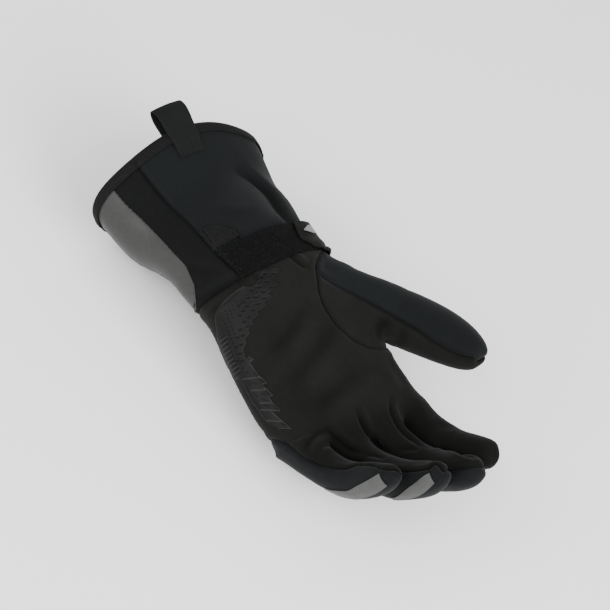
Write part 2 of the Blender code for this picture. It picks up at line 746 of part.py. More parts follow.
def pull_loop(tree, rim):
    """The hanging loop, sewn on outside over the binding, folded over and sewn again inside the cuff."""
    half = TAPE_THICKNESS / 2
    low = DRAPE_GAP + half
    over = 2 * LAY_GAP + BINDING_THICKNESS + half + 0.3 * MM
    within = -WALL - over - 0.3 * MM
    top = -LOOP_HEIGHT
    path = [(LOOP_FOOT, low), (LOOP_FOOT * 0.75, low), (LOOP_FOOT * 0.56, low), (LOOP_FOOT * 0.44, over)]
    path += [(0.0, over), (top * 0.1, over), (top * 0.45, over * 1.25), (top * 0.7, over * 1.15)]
    fold = LOOP_HEIGHT * 0.19
    heart = (top + fold, -WALL / 2)
    for turn in (60, 20, -20, -60):
        turn = math.radians(turn)
        path.append((heart[0] - fold * math.cos(turn), heart[1] + fold * math.sin(turn)))
    path += [(top * 0.7, within * 1.05), (top * 0.45, within * 1.1), (top * 0.1, within), (0.0, within)]
    path += [(LOOP_FOOT * 0.4, within), (LOOP_FOOT * 0.8, within)]
    rows = [[] for _ in path]
    reach = math.degrees(TAPE_WIDTH / RIM_WIDTH)
    for turn in spread_over(LOOP_TURN - reach, LOOP_TURN + reach, 4):
        first, second, share = between(rim, lambda item: item[0], turn)
        edge = first[1].lerp(second[1], share)
        foot = on_body(tree, turn, edge.y + LOOP_FOOT)
        inward = (foot - edge).normalized()
        up = first[2].lerp(second[2], share)
        up = (up - inward * up.dot(inward)).normalized()
        for row, (distance, height) in zip(rows, path):
            row.append(edge + inward * distance + up * height)
    return grid_object("pull_loop", rows, -half, half, "tape")


def set_on_origin():
    """Moves the whole glove so that the middle of its bounding box's underside is the origin."""
    made = list(bpy.context.scene.objects)
    places = [vert.co for piece in made for vert in piece.data.vertices]
    lows = [min(place[axis] for place in places) for axis in range(3)]
    highs = [max(place[axis] for place in places) for axis in range(3)]
    shift = Vector((-(lows[0] + highs[0]) / 2, -(lows[1] + highs[1]) / 2, -lows[2]))
    for piece in made:
        piece.data.transform(Matrix.Translation(shift))


def main():
    clear_scene()
    shell = smoothed(glove_cage())
    tree = BVHTree.FromBMesh(shell)
    panel_of, step_of, column_of = (shell.faces.layers.int[key] for key in ("panel", "step", "column"))
    for index, (name, cloth_name) in enumerate(PANELS):
        faces = [f for f in shell.faces if f[panel_of] == index]
        walled(name, shell, faces, -WALL, 0.0, cloth_name, SEAM_GAP)
    rim = rim_loop(shell)
    cuff_binding(rim)
    pull_loop(tree, rim)
    strap_step = [section.name for section in SECTIONS].index("strap_top")
    faces = [f for f in shell.faces if f[step_of] == strap_step and f[column_of] in STRAP_COLUMNS]
    walled("wrist_strap", shell, faces, LAY_GAP, LAY_GAP + STRAP_THICKNESS, "pile", SEAM_GAP)
    over_strap = LAY_GAP + STRAP_THICKNESS + LAY_GAP
    over_tab = over_strap + 0.3 * MM + TAB_THICKNESS + LAY_GAP
    body_patch("wrist_tab", tree, TAB_EDGES, 11, 1, TAB_THICKNESS, "softshell", over_strap + 0.3 * MM)
    body_patch("tab_reflector", tree, TRIANGLE_EDGES, 3, 2, FILM_THICKNESS, "reflective", over_tab)
    body_patch("reflective_panel", tree, REFLECTIVE_EDGES, 7, 1, FILM_THICKNESS, "reflective")
    body_patch("mesh_insert", tree, INSERT_EDGES, 3, 2, PATCH_THICKNESS, "net")
    body_patch("grip_patch_heel", tree, HEEL_EDGES, 8, 2, PATCH_THICKNESS, "silicone", tooth=TOOTH)
    body_patch("grip_patch_edge", tree, STRIP_EDGES, 4, 3, PATCH_THICKNESS, "silicone", tooth=TOOTH)
    finger_patch("finger_reflector_little", tree, 3, LITTLE_EDGES, "reflective")
    finger_patch("finger_reflector_ring", tree, 2, RING_EDGES, "reflective")
    shell.free()
    set_on_origin()


main()
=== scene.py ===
import math

import bmesh
import bpy
import numpy as np
from mathutils import Matrix, Vector, kdtree, noise
from mathutils.bvhtree import BVHTree


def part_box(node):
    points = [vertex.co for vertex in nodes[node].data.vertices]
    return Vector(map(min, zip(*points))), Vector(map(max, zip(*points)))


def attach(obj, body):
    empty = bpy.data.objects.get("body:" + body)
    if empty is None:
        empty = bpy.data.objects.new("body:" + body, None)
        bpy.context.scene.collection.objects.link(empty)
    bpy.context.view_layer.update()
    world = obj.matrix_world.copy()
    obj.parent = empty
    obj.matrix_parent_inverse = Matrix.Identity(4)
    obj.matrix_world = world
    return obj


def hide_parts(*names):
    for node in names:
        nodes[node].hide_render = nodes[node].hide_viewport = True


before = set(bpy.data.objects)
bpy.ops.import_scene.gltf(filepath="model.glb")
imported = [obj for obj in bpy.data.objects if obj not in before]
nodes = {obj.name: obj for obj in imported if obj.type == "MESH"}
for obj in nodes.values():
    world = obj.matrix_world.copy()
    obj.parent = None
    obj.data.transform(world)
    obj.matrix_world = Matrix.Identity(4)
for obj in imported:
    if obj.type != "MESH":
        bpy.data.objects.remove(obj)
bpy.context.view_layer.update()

mm = 0.001
bpy.ops.object.select_all(action="DESELECT")

# Camera, at the photograph's angle to the glove
view = {
    "aside": 39.8,  # degrees to the little finger's side of straight above
    "forward": 18.0,  # degrees towards the fingertips
    "roll": 52.7,  # the glove's length runs this far below the picture's right
    "lens": 136.7,
    "sensor": 36,
    "distance": 1.4,
    "target": (-0.01622, -0.01497, 0.028),
    "width": 610,
}


def viewAxes():
    aside, forward, roll = (math.radians(view[key]) for key in ("aside", "forward", "roll"))
    level = math.cos(forward)
    back = Vector((math.sin(aside) * level, math.sin(forward), math.cos(aside) * level))
    along = (Vector((0, 1, 0)) - back * back.y).normalized()
    thumbward = along.cross(back)
    if thumbward.x > 0:
        thumbward = -thumbward
    right = along * math.cos(roll) + thumbward * math.sin(roll)
    up = -along * math.sin(roll) + thumbward * math.cos(roll)
    return right, up, back


right, up, back = viewAxes()
eye = Vector(view["target"]) + back * view["distance"]
perPixel = view["sensor"] / view["lens"] / view["width"]


def placed(name, data):
    made = bpy.data.objects.new(name, data)
    bpy.context.scene.collection.objects.link(made)
    return made


def addCamera():
    camera = placed("camera", bpy.data.cameras.new("camera"))
    camera.data.lens = view["lens"]
    camera.data.sensor_width = view["sensor"]
    camera.matrix_world = Matrix.Translation(eye) @ Matrix((right, up, back)).transposed().to_4x4()
    bpy.context.scene.camera = camera


def sightLine(x, y):
    # The way the camera looks through this place in the photograph
    middle = view["width"] / 2
    return (right * (x - middle) * perPixel - up * (y - middle) * perPixel - back).normalized()


def pictured(places):
    # Where places in space lie in the photograph
    rays = np.asarray(places) - np.array(eye)
    depth = -rays @ np.array(back)
    across, down = rays @ np.array(right) / depth / perPixel, rays @ np.array(up) / depth / perPixel
    middle = view["width"] / 2
    return np.stack((middle + across, middle - down), 1)


addCamera()
print("camera placed")

# The cloth shell: the outer sides of the seven panels, sewn into one sheet
panels = ["palm", "hand_back", "thumb_front", "thumb_back", "cuff_front", "cuff_side", "cuff_back"]
shell = {
    "weld": 0.01 * mm,
    "flat": (50, 60),  # two triangles within these angles are put back into a quad
    "wallAngle": 60,  # a sharper edge is where a panel's side meets its wall
    "sew": 1.2 * mm,  # wider than the seam's gap
    "levels": 3,
    "seamDepth": 1.05 * mm,
    "seamWidth": 0.85 * mm,
    "seamPuff": 0.45 * mm,
    "puffWidth": 3.2 * mm,
    "pucker": 0.32 * mm,
    "puckerReach": 7 * mm,
    "puckerScale": 190,
    "roll": {
        "palm": 1.0, "hand_back": 0.6, "thumb_front": 0.5, "thumb_back": 0.4,
        "cuff_front": 0.55, "cuff_side": 0.8, "cuff_back": 0.7,
    },
    "rollScale": 34,
    "rimCalm": 14 * mm,
    "shadedFingers": (55 * mm, 88 * mm),  # painted shade: the fingers are darker than the palm from here to here
    "cloth": 1.3 * mm,
    "lining": 1.0 * mm,
    "liningGap": 0.25 * mm,
    "sharp": 50,  # an edge sharper than this many degrees is shaded as an edge
    "strays": 260,  # a patch of fewer faces than this, cut off from its panel, joins its neighbour
    "relaxing": (14, 0.5, 0.35),  # rounds, and how far a seam and the cloth beside it move in each
    "mark": 1.1 * mm,  # half the width of the painted shade along a seam
    "deepest": 2.5 * mm,  # a fold this deep gets the darkest painted shade
}

# Seams that are cut finer than the solids' faces, round what the photograph shows of a panel
thumbSeam = [
    (317, 273), (323, 276.5), (335, 285.5), (347.5, 292), (365, 300.5), (380, 309), (392.5, 316),
    (415, 329), (430, 340), (445, 349), (460, 355), (475, 358),
]
thumbRoot = [(319, 293), (325, 309), (336, 325), (350, 339), (368, 348), (384, 350)]
fingerSeam = [
    (285, 442), (294, 449), (301, 455), (310, 461), (320, 466), (335, 468.5), (345, 468.5), (358, 465),
    (372, 465), (381, 469), (398, 470),
]
cutColumns = ("panel", "from", "round")
cutRows = [
    ("thumb_back", ["palm", "thumb_front", "hand_back"], [
        (323, 250), (319, 257), (316, 266), *thumbSeam, (490, 356), (490, 330), (440, 285), (390, 258),
        (350, 250),
    ]),
    ("thumb_front", ["palm", "thumb_back"], [
        *thumbSeam, (484, 368), (440, 372), (396, 352), *thumbRoot[::-1],
    ]),
    ("palm", ["thumb_front"], [
        (317, 273), *thumbRoot, (394, 346), (392, 380), (330, 370), (300, 330), (300, 280),
    ]),
    ("hand_back", ["palm"], [
        (268, 440), (275, 440), *fingerSeam, (399, 480), (390, 500), (340, 505), (290, 480),
    ]),
    ("palm", ["hand_back"], [(275, 438), *fingerSeam, (400, 458), (380, 440), (330, 440), (290, 420)]),
    ("palm", ["hand_back"], [
        (470, 470), (478, 462), (484, 446), (494, 436), (506, 444), (504, 464), (490, 474), (482, 468),
    ]),
    ("hand_back", ["palm"], [(447, 471), (460, 468.5), (480, 467), (488, 470), (488, 486), (447, 486)]),
]
cuts = [dict(zip(cutColumns, row)) for row in cutRows]

# Folds, drawn through places in the photograph: depth and width in mm, lip is the ridge beside it
foldColumns = ("name", "depth", "width", "lip", "side", "line")
foldRows = [
    ("cuffCrease", 2.4, 3.8, 0.2, 1,
     [(232, 168), (244, 174), (256, 181), (267, 191), (276, 205), (285, 218), (293, 230)]),
    ("cuffCreaseDeep", 0.6, 1.9, 0.1, 1, [(252, 179), (267, 191), (277, 206), (287, 221)]),
    ("cuffSoft", 0.9, 4.0, 0.6, 1, [(214, 209), (230, 214), (246, 214), (258, 208)]),
    ("cuffEdge", 0.8, 4.0, 0.5, 1, [(262, 150), (276, 178), (290, 205)]),
    ("sideGather", 1.8, 3.0, 0.7, 1, [(196, 303), (216, 292), (236, 281), (250, 276)]),
    ("sideGather2", 1.2, 2.4, 0.6, 1, [(203, 318), (218, 306), (234, 292), (243, 284)]),
    ("sideGather3", 0.8, 3.0, 0.5, 1, [(184, 262), (200, 270), (216, 270)]),
    ("heelPinch", 1.9, 2.0, 0.6, 1, [(288, 256), (294, 259), (302, 265), (310, 267)]),
    ("heelPinch2", 1.0, 1.8, 0.5, 1, [(250, 275), (258, 276), (266, 270)]),
    ("palmRoll", 1.5, 5.0, 0.7, 1, [(309, 300), (297, 322), (284, 340), (268, 356)]),
    ("palmRoll2", 1.5, 5.5, 0.6, 1, [(340, 318), (322, 345), (305, 368), (288, 392)]),
    ("palmRoll3", 1.4, 5.0, 0.6, 1, [(368, 362), (348, 382), (326, 402), (312, 416)]),
    ("thumbPinch", 2.2, 4.2, 0.4, 1, [(387, 317), (381, 328), (380, 343)]),
    ("thumbPuff", -2.7, 12.0, 0.0, 1,
     [(324, 259), (336, 265), (350, 272), (368, 280), (390, 289), (404, 295)]),
    ("thumbSoft", 0.9, 3.2, 0.5, 1, [(404, 330), (398, 344), (396, 354)]),
    ("rootLittle", 1.9, 2.6, 0.7, -1, [(305, 453), (309, 442), (319, 433), (331, 430)]),
    ("rootLittle2", 0.9, 2.2, 0.6, -1, [(314, 462), (317, 451), (326, 445), (338, 446)]),
    ("crotchLittle", 2.3, 1.9, 0.5, 1, [(326, 424), (331, 433), (340, 441), (350, 449), (362, 453)]),
    ("crotchRing", 2.4, 2.1, 0.5, 1, [(356, 406), (361, 419), (367, 431), (378, 444), (389, 452)]),
    ("crotchMiddle", 2.2, 2.0, 0.5, 1, [(392, 396), (391, 410), (398, 425), (410, 438), (422, 448)]),
    ("indexFold", 1.4, 2.0, 0.6, -1, [(428, 450), (446, 451), (464, 455), (476, 460)]),
    ("indexSoft", 0.8, 4.0, 0.5, 1, [(428, 404), (436, 420), (452, 430)]),
    ("ringFold", 1.0, 2.0, 0.5, -1, [(396, 452), (408, 449), (420, 450)]),
    ("middleFold", 1.0, 2.0, 0.5, -1, [(362, 456), (374, 456), (386, 460)]),
    ("webFold", 0.9, 5.0, 0.5, 1, [(384, 352), (398, 366), (404, 384), (402, 400)]),
]
folds = [dict(zip(foldColumns, row)) for row in foldRows]
foldShape = {
    "taper": 0.28,  # of its length, at each end
    "lipAt": 1.7,  # widths from its line
    "reach": 5,  # widths
}


def mergedCopy(name):
    # A CAD node's mesh is loose triangles, so a copy of it is merged and its quads are put back
    mesh = bmesh.new()
    mesh.from_mesh(nodes[name].data)
    bmesh.ops.remove_doubles(mesh, verts=mesh.verts, dist=shell["weld"])
    face, shape = (math.radians(angle) for angle in shell["flat"])
    bmesh.ops.join_triangles(mesh, faces=mesh.faces, angle_face_threshold=face, angle_shape_threshold=shape)
    return mesh


def stretchesOf(mesh, joined):
    # The mesh's faces in stretches, which grow over the edges that pass the test, in the same order each run
    left = dict.fromkeys(mesh.faces)
    while left:
        stretch = [left.popitem()[0]]
        for face in stretch:
            for edge in face.edges:
                for other in edge.link_faces:
                    if other in left and joined(edge, face, other):
                        del left[other]
                        stretch.append(other)
        yield stretch


def outerFaces(mesh):
    # The widest stretch of faces that no sharp edge crosses
    limit = math.radians(shell["wallAngle"])
    stretches = stretchesOf(mesh, lambda edge, face, other: edge.calc_face_angle(math.pi) < limit)
    return max(stretches, key=lambda stretch: sum(face.calc_area() for face in stretch))


def objectOf(mesh, name):
    # The object that holds this bmesh, which is then freed
    data = bpy.data.meshes.new(name)
    mesh.to_mesh(data)
    mesh.free()
    return placed(name, data)


def sewnShell():
    # One mesh of every panel's outer side, with each face's material slot saying which panel it is
    whole = bmesh.new()
    for index, name in enumerate(panels):
        mesh = mergedCopy(name)
        twins = {}
        for face in outerFaces(mesh):
            for vert in face.verts:
                if vert not in twins:
                    twins[vert] = whole.verts.new(vert.co)
            made = whole.faces.new([twins[vert] for vert in face.verts])
            made.material_index = index
        mesh.free()
    bmesh.ops.remove_doubles(whole, verts=whole.verts, dist=shell["sew"])
    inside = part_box("cuff_binding")[1].y
    edges = [edge for edge in whole.edges if edge.is_boundary and max(v.co.y for v in edge.verts) > inside]
    if edges:
        bmesh.ops.holes_fill(whole, edges=edges, sides=8)
        print("holes closed in the shell:", len(edges))
    whole.normal_update()
    return objectOf(whole, "shell")


def applied(piece, kind, **settings):
    modifier = piece.modifiers.new(kind.lower(), kind)
    for key, value in settings.items():
        setattr(modifier, key, value)
    bpy.context.view_layer.objects.active = piece
    bpy.ops.object.modifier_apply(modifier=modifier.name)
    return piece


def subdivided(piece, levels):
    return applied(piece, "SUBSURF", levels=levels, render_levels=levels)


def fetched(items, key):
    found = np.empty(len(items) * 3)
    items.foreach_get(key, found)
    return found.reshape(-1, 3)


def placesOf(data):
    return fetched(data.vertices, "co")


def normalsOf(data):
    return fetched(data.vertex_normals, "vector")


def treeOf(data):
    corners = [list(polygon.vertices) for polygon in data.polygons]
    return BVHTree.FromPolygons([vert.co.copy() for vert in data.vertices], corners)


def smoothLine(points, count):
    # A smooth curve through these points
    ends = [points[0] * 2 - points[1], *points, points[-1] * 2 - points[-2]]
    found = []
    for k in range(len(points) - 1):
        a, b, c, d = ends[k:k + 4]
        for step in range(count):
            t = step / count
            bend, swing = a * 2 - b * 5 + c * 4 - d, b * 3 - a - c * 3 + d
            found.append(0.5 * ((b * 2) + (c - a) * t + bend * t * t + swing * t ** 3))
    return found + [points[-1]]


def drawn(spots, count):
    # A smooth line through spots in the photograph
    return [(p.x, p.y) for p in smoothLine([Vector((*spot, 0)) for spot in spots], count)]


def within(spots, outline):
    # Which of these places in the photograph lie inside an outline drawn on it
    inside = np.zeros(len(spots), bool)
    x, y = spots[:, 0], spots[:, 1]
    for k, (x0, y0) in enumerate(outline):
        x1, y1 = outline[k - 1]
        if y0 != y1:
            inside ^= ((y0 > y) != (y1 > y)) & (x < (x1 - x0) * (y - y0) / (y1 - y0) + x0)
    return inside


def cutPanels(data):
    # Gives faces to the panels as the photograph shows their seams
    tree = treeOf(data)
    middles = np.array([polygon.center for polygon in data.polygons])
    facing = np.array([polygon.normal.dot(back) for polygon in data.polygons]) > 0.0
    spots = pictured(middles)
    slots = np.array([polygon.material_index for polygon in data.polygons])
    seen = {}
    for cut in cuts:
        sources = [panels.index(name) for name in cut["from"]]
        taken = within(spots, cut["round"]) & facing & np.isin(slots, sources)
        for k in np.flatnonzero(taken):
            if k not in seen:
                aim = Vector(middles[k]) - eye
                found = tree.ray_cast(eye, aim.normalized())[0]
                seen[k] = found is not None and (found - Vector(middles[k])).length < 2 * mm
            if seen[k]:
                slots[k] = panels.index(cut["panel"])
    data.polygons.foreach_set("material_index", slots.astype(np.int32))
    joinStrays(data)


def joinStrays(data):
    # A small patch that is cut off from its panel goes to the panel round it
    mesh = bmesh.new()
    mesh.from_mesh(data)
    for stretch in stretchesOf(mesh, lambda edge, face, other: face.material_index == other.material_index):
        if len(stretch) < shell["strays"]:
            edges = [edge for face in stretch for edge in face.edges]
            near = [other.material_index for edge in edges for other in edge.link_faces]
            beside = [index for index in near if index != stretch[0].material_index]
            for face in stretch if beside else []:
                face.material_index = max(beside, key=beside.count)
    mesh.to_mesh(data)
    mesh.free()


def edgeSides(data):
    # The panels on each side of each edge
    sides = {}
    for polygon in data.polygons:
        for key in polygon.edge_keys:
            sides.setdefault(key, []).append(polygon.material_index)
    return sides


def seamEdges(data):
    between = [key for key, found in edgeSides(data).items() if len(found) == 2 and found[0] != found[1]]
    return np.array(between)


def meanBeside(places, edges):
    total, count = np.zeros_like(places), np.zeros(len(places))
    for a, b in ((0, 1), (1, 0)):
        np.add.at(total, edges[:, a], places[edges[:, b]])
        np.add.at(count, edges[:, a], 1)
    return total / np.maximum(count, 1)[:, None], count


def relaxSeams(data):
    # Draws each seam's row of vertices into a smooth line, and the vertices beside it after it
    places, seams, sides = placesOf(data), seamEdges(data), edgeSides(data)
    edges = np.array(list(sides))
    tree = treeOf(data)
    rim = np.zeros(len(places), bool)
    rim[[v for key, found in sides.items() if len(found) < 2 for v in key]] = True
    count = meanBeside(places, seams)[1]
    near = count > 0
    for step in range(2):
        reach = near.copy()
        reach[edges[near[edges[:, 0]], 1]] = True
        reach[edges[near[edges[:, 1]], 0]] = True
        near = reach
    start = places.copy()
    rounds, seamPull, clothPull = shell["relaxing"]
    for step in range(rounds):
        for pairs, moving, pull in ((seams, count == 2, seamPull), (edges, near & (count == 0), clothPull)):
            moving = moving & ~rim
            places[moving] += pull * (meanBeside(places, pairs)[0] - places)[moving]
    for k in np.flatnonzero(np.abs(places - start).max(axis=1) > 1e-6):
        places[k] = tree.find_nearest(Vector(places[k]))[0]
    data.vertices.foreach_set("co", places.ravel())
    data.update()


def foldHeights(places, normals, tree):
    heights = np.zeros(len(places))
    for fold in folds:
        hits = [tree.ray_cast(eye, sightLine(*spot))[:2] for spot in fold["line"]]
        points = [hit[0] for hit in hits if hit[0] is not None]
        if len(points) < 2:
            print("fold missed the cloth:", fold["name"])
            continue
        line = smoothLine(points, 8)
        facing = np.array(sum((hit[1] for hit in hits if hit[0] is not None), Vector()).normalized())
        width = fold["width"] * mm
        near, side, along = np.full(len(places), 1.0), np.zeros(len(places)), np.zeros(len(places))
        for k in range(len(line) - 1):
            a, b = np.array(line[k]), np.array(line[k + 1])
            run = b - a
            t = np.clip(((places - a) @ run) / (run @ run), 0, 1)
            off = places - a - t[:, None] * run
            away = np.linalg.norm(off, axis=1)
            closer = away < near
            across = np.cross(facing, run / np.linalg.norm(run))
            near[closer] = away[closer]
            side[closer] = (off @ across)[closer]
            along[closer] = ((k + t) / (len(line) - 1))[closer]
        taper = np.clip(np.minimum(along, 1 - along) / foldShape["taper"], 0, 1) ** 0.7
        faced = np.clip(normals @ facing * 2, 0, 1)
        signed = np.where(side * fold["side"] > 0, near, -near) / width
        groove = -np.exp(-(near / width) ** 2)
        ridge = fold["lip"] * np.exp(-(signed - foldShape["lipAt"]) ** 2)
        reached = near < width * foldShape["reach"]
        heights += fold["depth"] * mm * (groove + ridge) * taper * faced * reached
    return heights


def seamDistances(data, places):
    # How far each vertex is from the nearest seam between two panels
    seamVerts = sorted(set(seamEdges(data).ravel().tolist()))
    tree = kdtree.KDTree(len(seamVerts))
    for vert in seamVerts:
        tree.insert(places[vert], vert)
    tree.balance()
    return np.array([tree.find(place)[2] for place in places])


def panelShare(data, shares):
    # Each vertex takes the value of a panel that it belongs to
    found = np.zeros(len(data.vertices))
    for polygon in data.polygons:
        found[list(polygon.vertices)] = shares[polygon.material_index]
    return found


def rippled(place, scale, seed):
    return noise.noise(Vector(place) * scale + Vector((seed, seed * 2.3, seed * 0.7)))


def stepUp(values, low, high):
    t = np.clip((values - low) / (high - low), 0, 1)
    return t * t * (3 - 2 * t)


def storeValues(data, name, values):
    layer = data.attributes.new(name, "FLOAT", "POINT")
    layer.data.foreach_set("value", np.asarray(values, dtype=np.float32))


def shapeShell(piece):
    # Presses seams, puckers, folds and soft rolls into the smooth shell
    data = piece.data
    places, normals = placesOf(data), normalsOf(data)
    smooth = treeOf(data)
    seam = seamDistances(data, places)
    push = -shell["seamDepth"] * np.exp(-(seam / shell["seamWidth"]) ** 2)
    push += shell["seamPuff"] * np.exp(-((seam - shell["puffWidth"]) / shell["puffWidth"] * 1.5) ** 2)
    fine = np.array([rippled(p, shell["puckerScale"], 3.0) for p in places])
    push += shell["pucker"] * fine * np.exp(-seam / shell["puckerReach"])
    rim = places[:, 1].min()
    calm = np.clip((places[:, 1] - rim) / shell["rimCalm"], 0.1, 1)
    wide = shell["rollScale"]
    soft = np.array([rippled(p, wide, 7.0) + 0.5 * rippled(p, wide * 2.2, 11.0) for p in places])
    push += soft * mm * panelShare(data, [shell["roll"][name] for name in panels]) * calm
    creased = foldHeights(places, normals, smooth) * np.clip(calm * 2, 0, 1)
    push += creased
    moved = places + normals * push[:, None]
    moved[:, 2] = np.maximum(moved[:, 2], 0.0)
    data.vertices.foreach_set("co", moved.ravel())
    data.update()
    # seam and crease are masks for painted shade in the seams and folds and painted highlight on the folds'
    # lips
    storeValues(data, "seam", np.exp(-(seam / shell["mark"]) ** 2))
    storeValues(data, "crease", np.clip(creased / shell["deepest"], -1, 1))
    # painted shade on the fingers: a mask that rises from the palm to the fingers
    storeValues(data, "soil", stepUp(places[:, 1], *shell["shadedFingers"]))
    return smooth, places, moved - places


cloth = subdivided(sewnShell(), shell["levels"])
cutPanels(cloth.data)
relaxSeams(cloth.data)
smoothTree, smoothPlaces, shifts = shapeShell(cloth)
clothFaces = [list(p.vertices) for p in cloth.data.polygons]
clothTree = treeOf(cloth.data)
print("shell shaped:", len(clothFaces), "faces")


def carried(place, sink=0.0):
    # Moves a place above the smooth shell as the cloth under it moved
    spot, normal, face = smoothTree.find_nearest(place)[:3]
    corners = clothFaces[face]
    weights = 1 / (((smoothPlaces[corners] - np.array(spot)) ** 2).sum(axis=1) + 1e-9)
    shift = (shifts[corners] * weights[:, None]).sum(axis=0) / weights.sum()
    return place + Vector(shift) - normal * sink


# Materials
def setInputs(tree, node, sockets):
    # Sets a node's inputs to values or links them to other nodes' outputs
    for key, value in sockets.items():
        if isinstance(value, bpy.types.NodeSocket):
            tree.links.new(value, node.inputs[key])
        else:
            node.inputs[key].default_value = value


def addNode(tree, kind, settings=None, sockets=None):
    made = tree.nodes.new(kind)
    for key, value in (settings or {}).items():
        setattr(made, key, value)
    setInputs(tree, made, sockets or {})
    return made


def maths(tree, operation, a, b):
    return addNode(tree, "ShaderNodeMath", {"operation": operation}, {0: a, 1: b}).outputs[0]


def added(tree, a, b):
    return maths(tree, "ADD", a, b)


def product(tree, a, b):
    return maths(tree, "MULTIPLY", a, b)


def swung(tree, value, amount):
    # How far a value lies from its middle, made larger or smaller
    return product(tree, maths(tree, "SUBTRACT", value, 0.5), amount)


def cloudNoise(tree, place, scale, detail, roughness=0.5, distortion=0.0):
    sockets = {"Vector": place, "Scale": scale, "Detail": detail, "Roughness": roughness}
    return addNode(tree, "ShaderNodeTexNoise", None, sockets | {"Distortion": distortion}).outputs[0]


def ribWaves(tree, direction, place, scale, distortion, detail=2.0):
    sockets = {"Vector": place, "Scale": scale, "Distortion": distortion, "Detail": detail}
    return addNode(tree, "ShaderNodeTexWave", {"bands_direction": direction}, sockets).outputs["Fac"]


def mottle(group, given):
    # Cloudy light and dark areas, as dye, handling and nap leave them
    broad = cloudNoise(group, given["Vector"], given["Scale"], 3.0, 0.55)
    small = cloudNoise(group, given["Vector"], product(group, given["Scale"], 7.0), 2.0, 0.6)
    both = added(group, product(group, broad, 0.7), product(group, small, 0.3))
    swing = swung(group, both, product(group, given["Strength"], 4.0))
    return {"Tone": added(group, swing, 1.0)}


def knit(group, given):
    # The face of a fine knit: small close cells with a little slub in them
    longer = addNode(group, "ShaderNodeMapping", None, {"Vector": given["Vector"], "Scale": (1.0, 0.62, 1.0)})
    sockets = {"Vector": longer.outputs[0], "Scale": given["Scale"]}
    cells = addNode(group, "ShaderNodeTexVoronoi", {"feature": "F1"}, sockets)
    slub = cloudNoise(group, given["Vector"], product(group, given["Scale"], 0.35), 2.0)
    height = maths(group, "SUBTRACT", 1.0, cells.outputs["Distance"])
    return {
        "Height": added(group, height, product(group, slub, given["Amount"])),
        "Tone": added(group, 1.0, swung(group, slub, given["Amount"])),
    }


def nap(group, given):
    # Short fibres of uneven height, with paler tips standing out
    fibres = cloudNoise(group, given["Vector"], given["Scale"], 4.0, 0.7, 0.6)
    limits = {0: fibres, 1: 0.55, 2: 0.72, 3: 0.0, 4: 1.0}
    tips = addNode(group, "ShaderNodeMapRange", {"clamp": True}, limits).outputs[0]
    return {"Height": fibres, "Tone": added(group, 1.0, product(group, tips, given["Amount"]))}


def twill(group, given):
    # Diagonal ribs of a woven tape
    ribs = ribWaves(group, "DIAGONAL", given["Vector"], given["Scale"], 0.4, 1.0)
    cross = ribWaves(group, "X", given["Vector"], product(group, given["Scale"], 1.7), 0.5)
    height = added(group, product(group, ribs, 0.7), product(group, cross, 0.3))
    return {"Height": height, "Tone": added(group, 1.0, swung(group, height, given["Amount"]))}


def wear(group, given):
    # Painted shade in the seams, folds and dents, painted highlight on the ridges and rims, and painted shade
    # on the fingers
    low = maths(group, "MAXIMUM", product(group, given["Crease"], -1.0), given["Seam"])
    dark = maths(group, "SUBTRACT", 1.0, product(group, low, given["Dirt"]))
    high = maths(group, "MAXIMUM", given["Crease"], 0.0)
    pale = added(group, 1.0, product(group, high, given["Rub"]))
    # painted shade on the fingers
    unshadedFingers = maths(group, "SUBTRACT", 1.0, given["Soil"])
    return {"Tone": product(group, product(group, dark, pale), unshadedFingers)}


def newGroup(wired, labels=("Vector", "Scale", "Amount")):
    # The node group that a function above wires, with these inputs
    group = bpy.data.node_groups.new(wired.__name__, "ShaderNodeTree")
    for label in labels:
        kind = "NodeSocketVector" if label == "Vector" else "NodeSocketFloat"
        group.interface.new_socket(label, in_out="INPUT", socket_type=kind)
    found = wired(group, group.nodes.new("NodeGroupInput").outputs)
    for label in found:
        group.interface.new_socket(label, in_out="OUTPUT", socket_type="NodeSocketFloat")
    out = group.nodes.new("NodeGroupOutput").inputs
    for label, socket in found.items():
        group.links.new(socket, out[label])
    return group


groups = {
    "mottle": newGroup(mottle, ("Vector", "Scale", "Strength")),
    "knit": newGroup(knit),
    "nap": newGroup(nap),
    "twill": newGroup(twill),
    "wear": newGroup(wear, ("Seam", "Crease", "Dirt", "Rub", "Soil")),
}

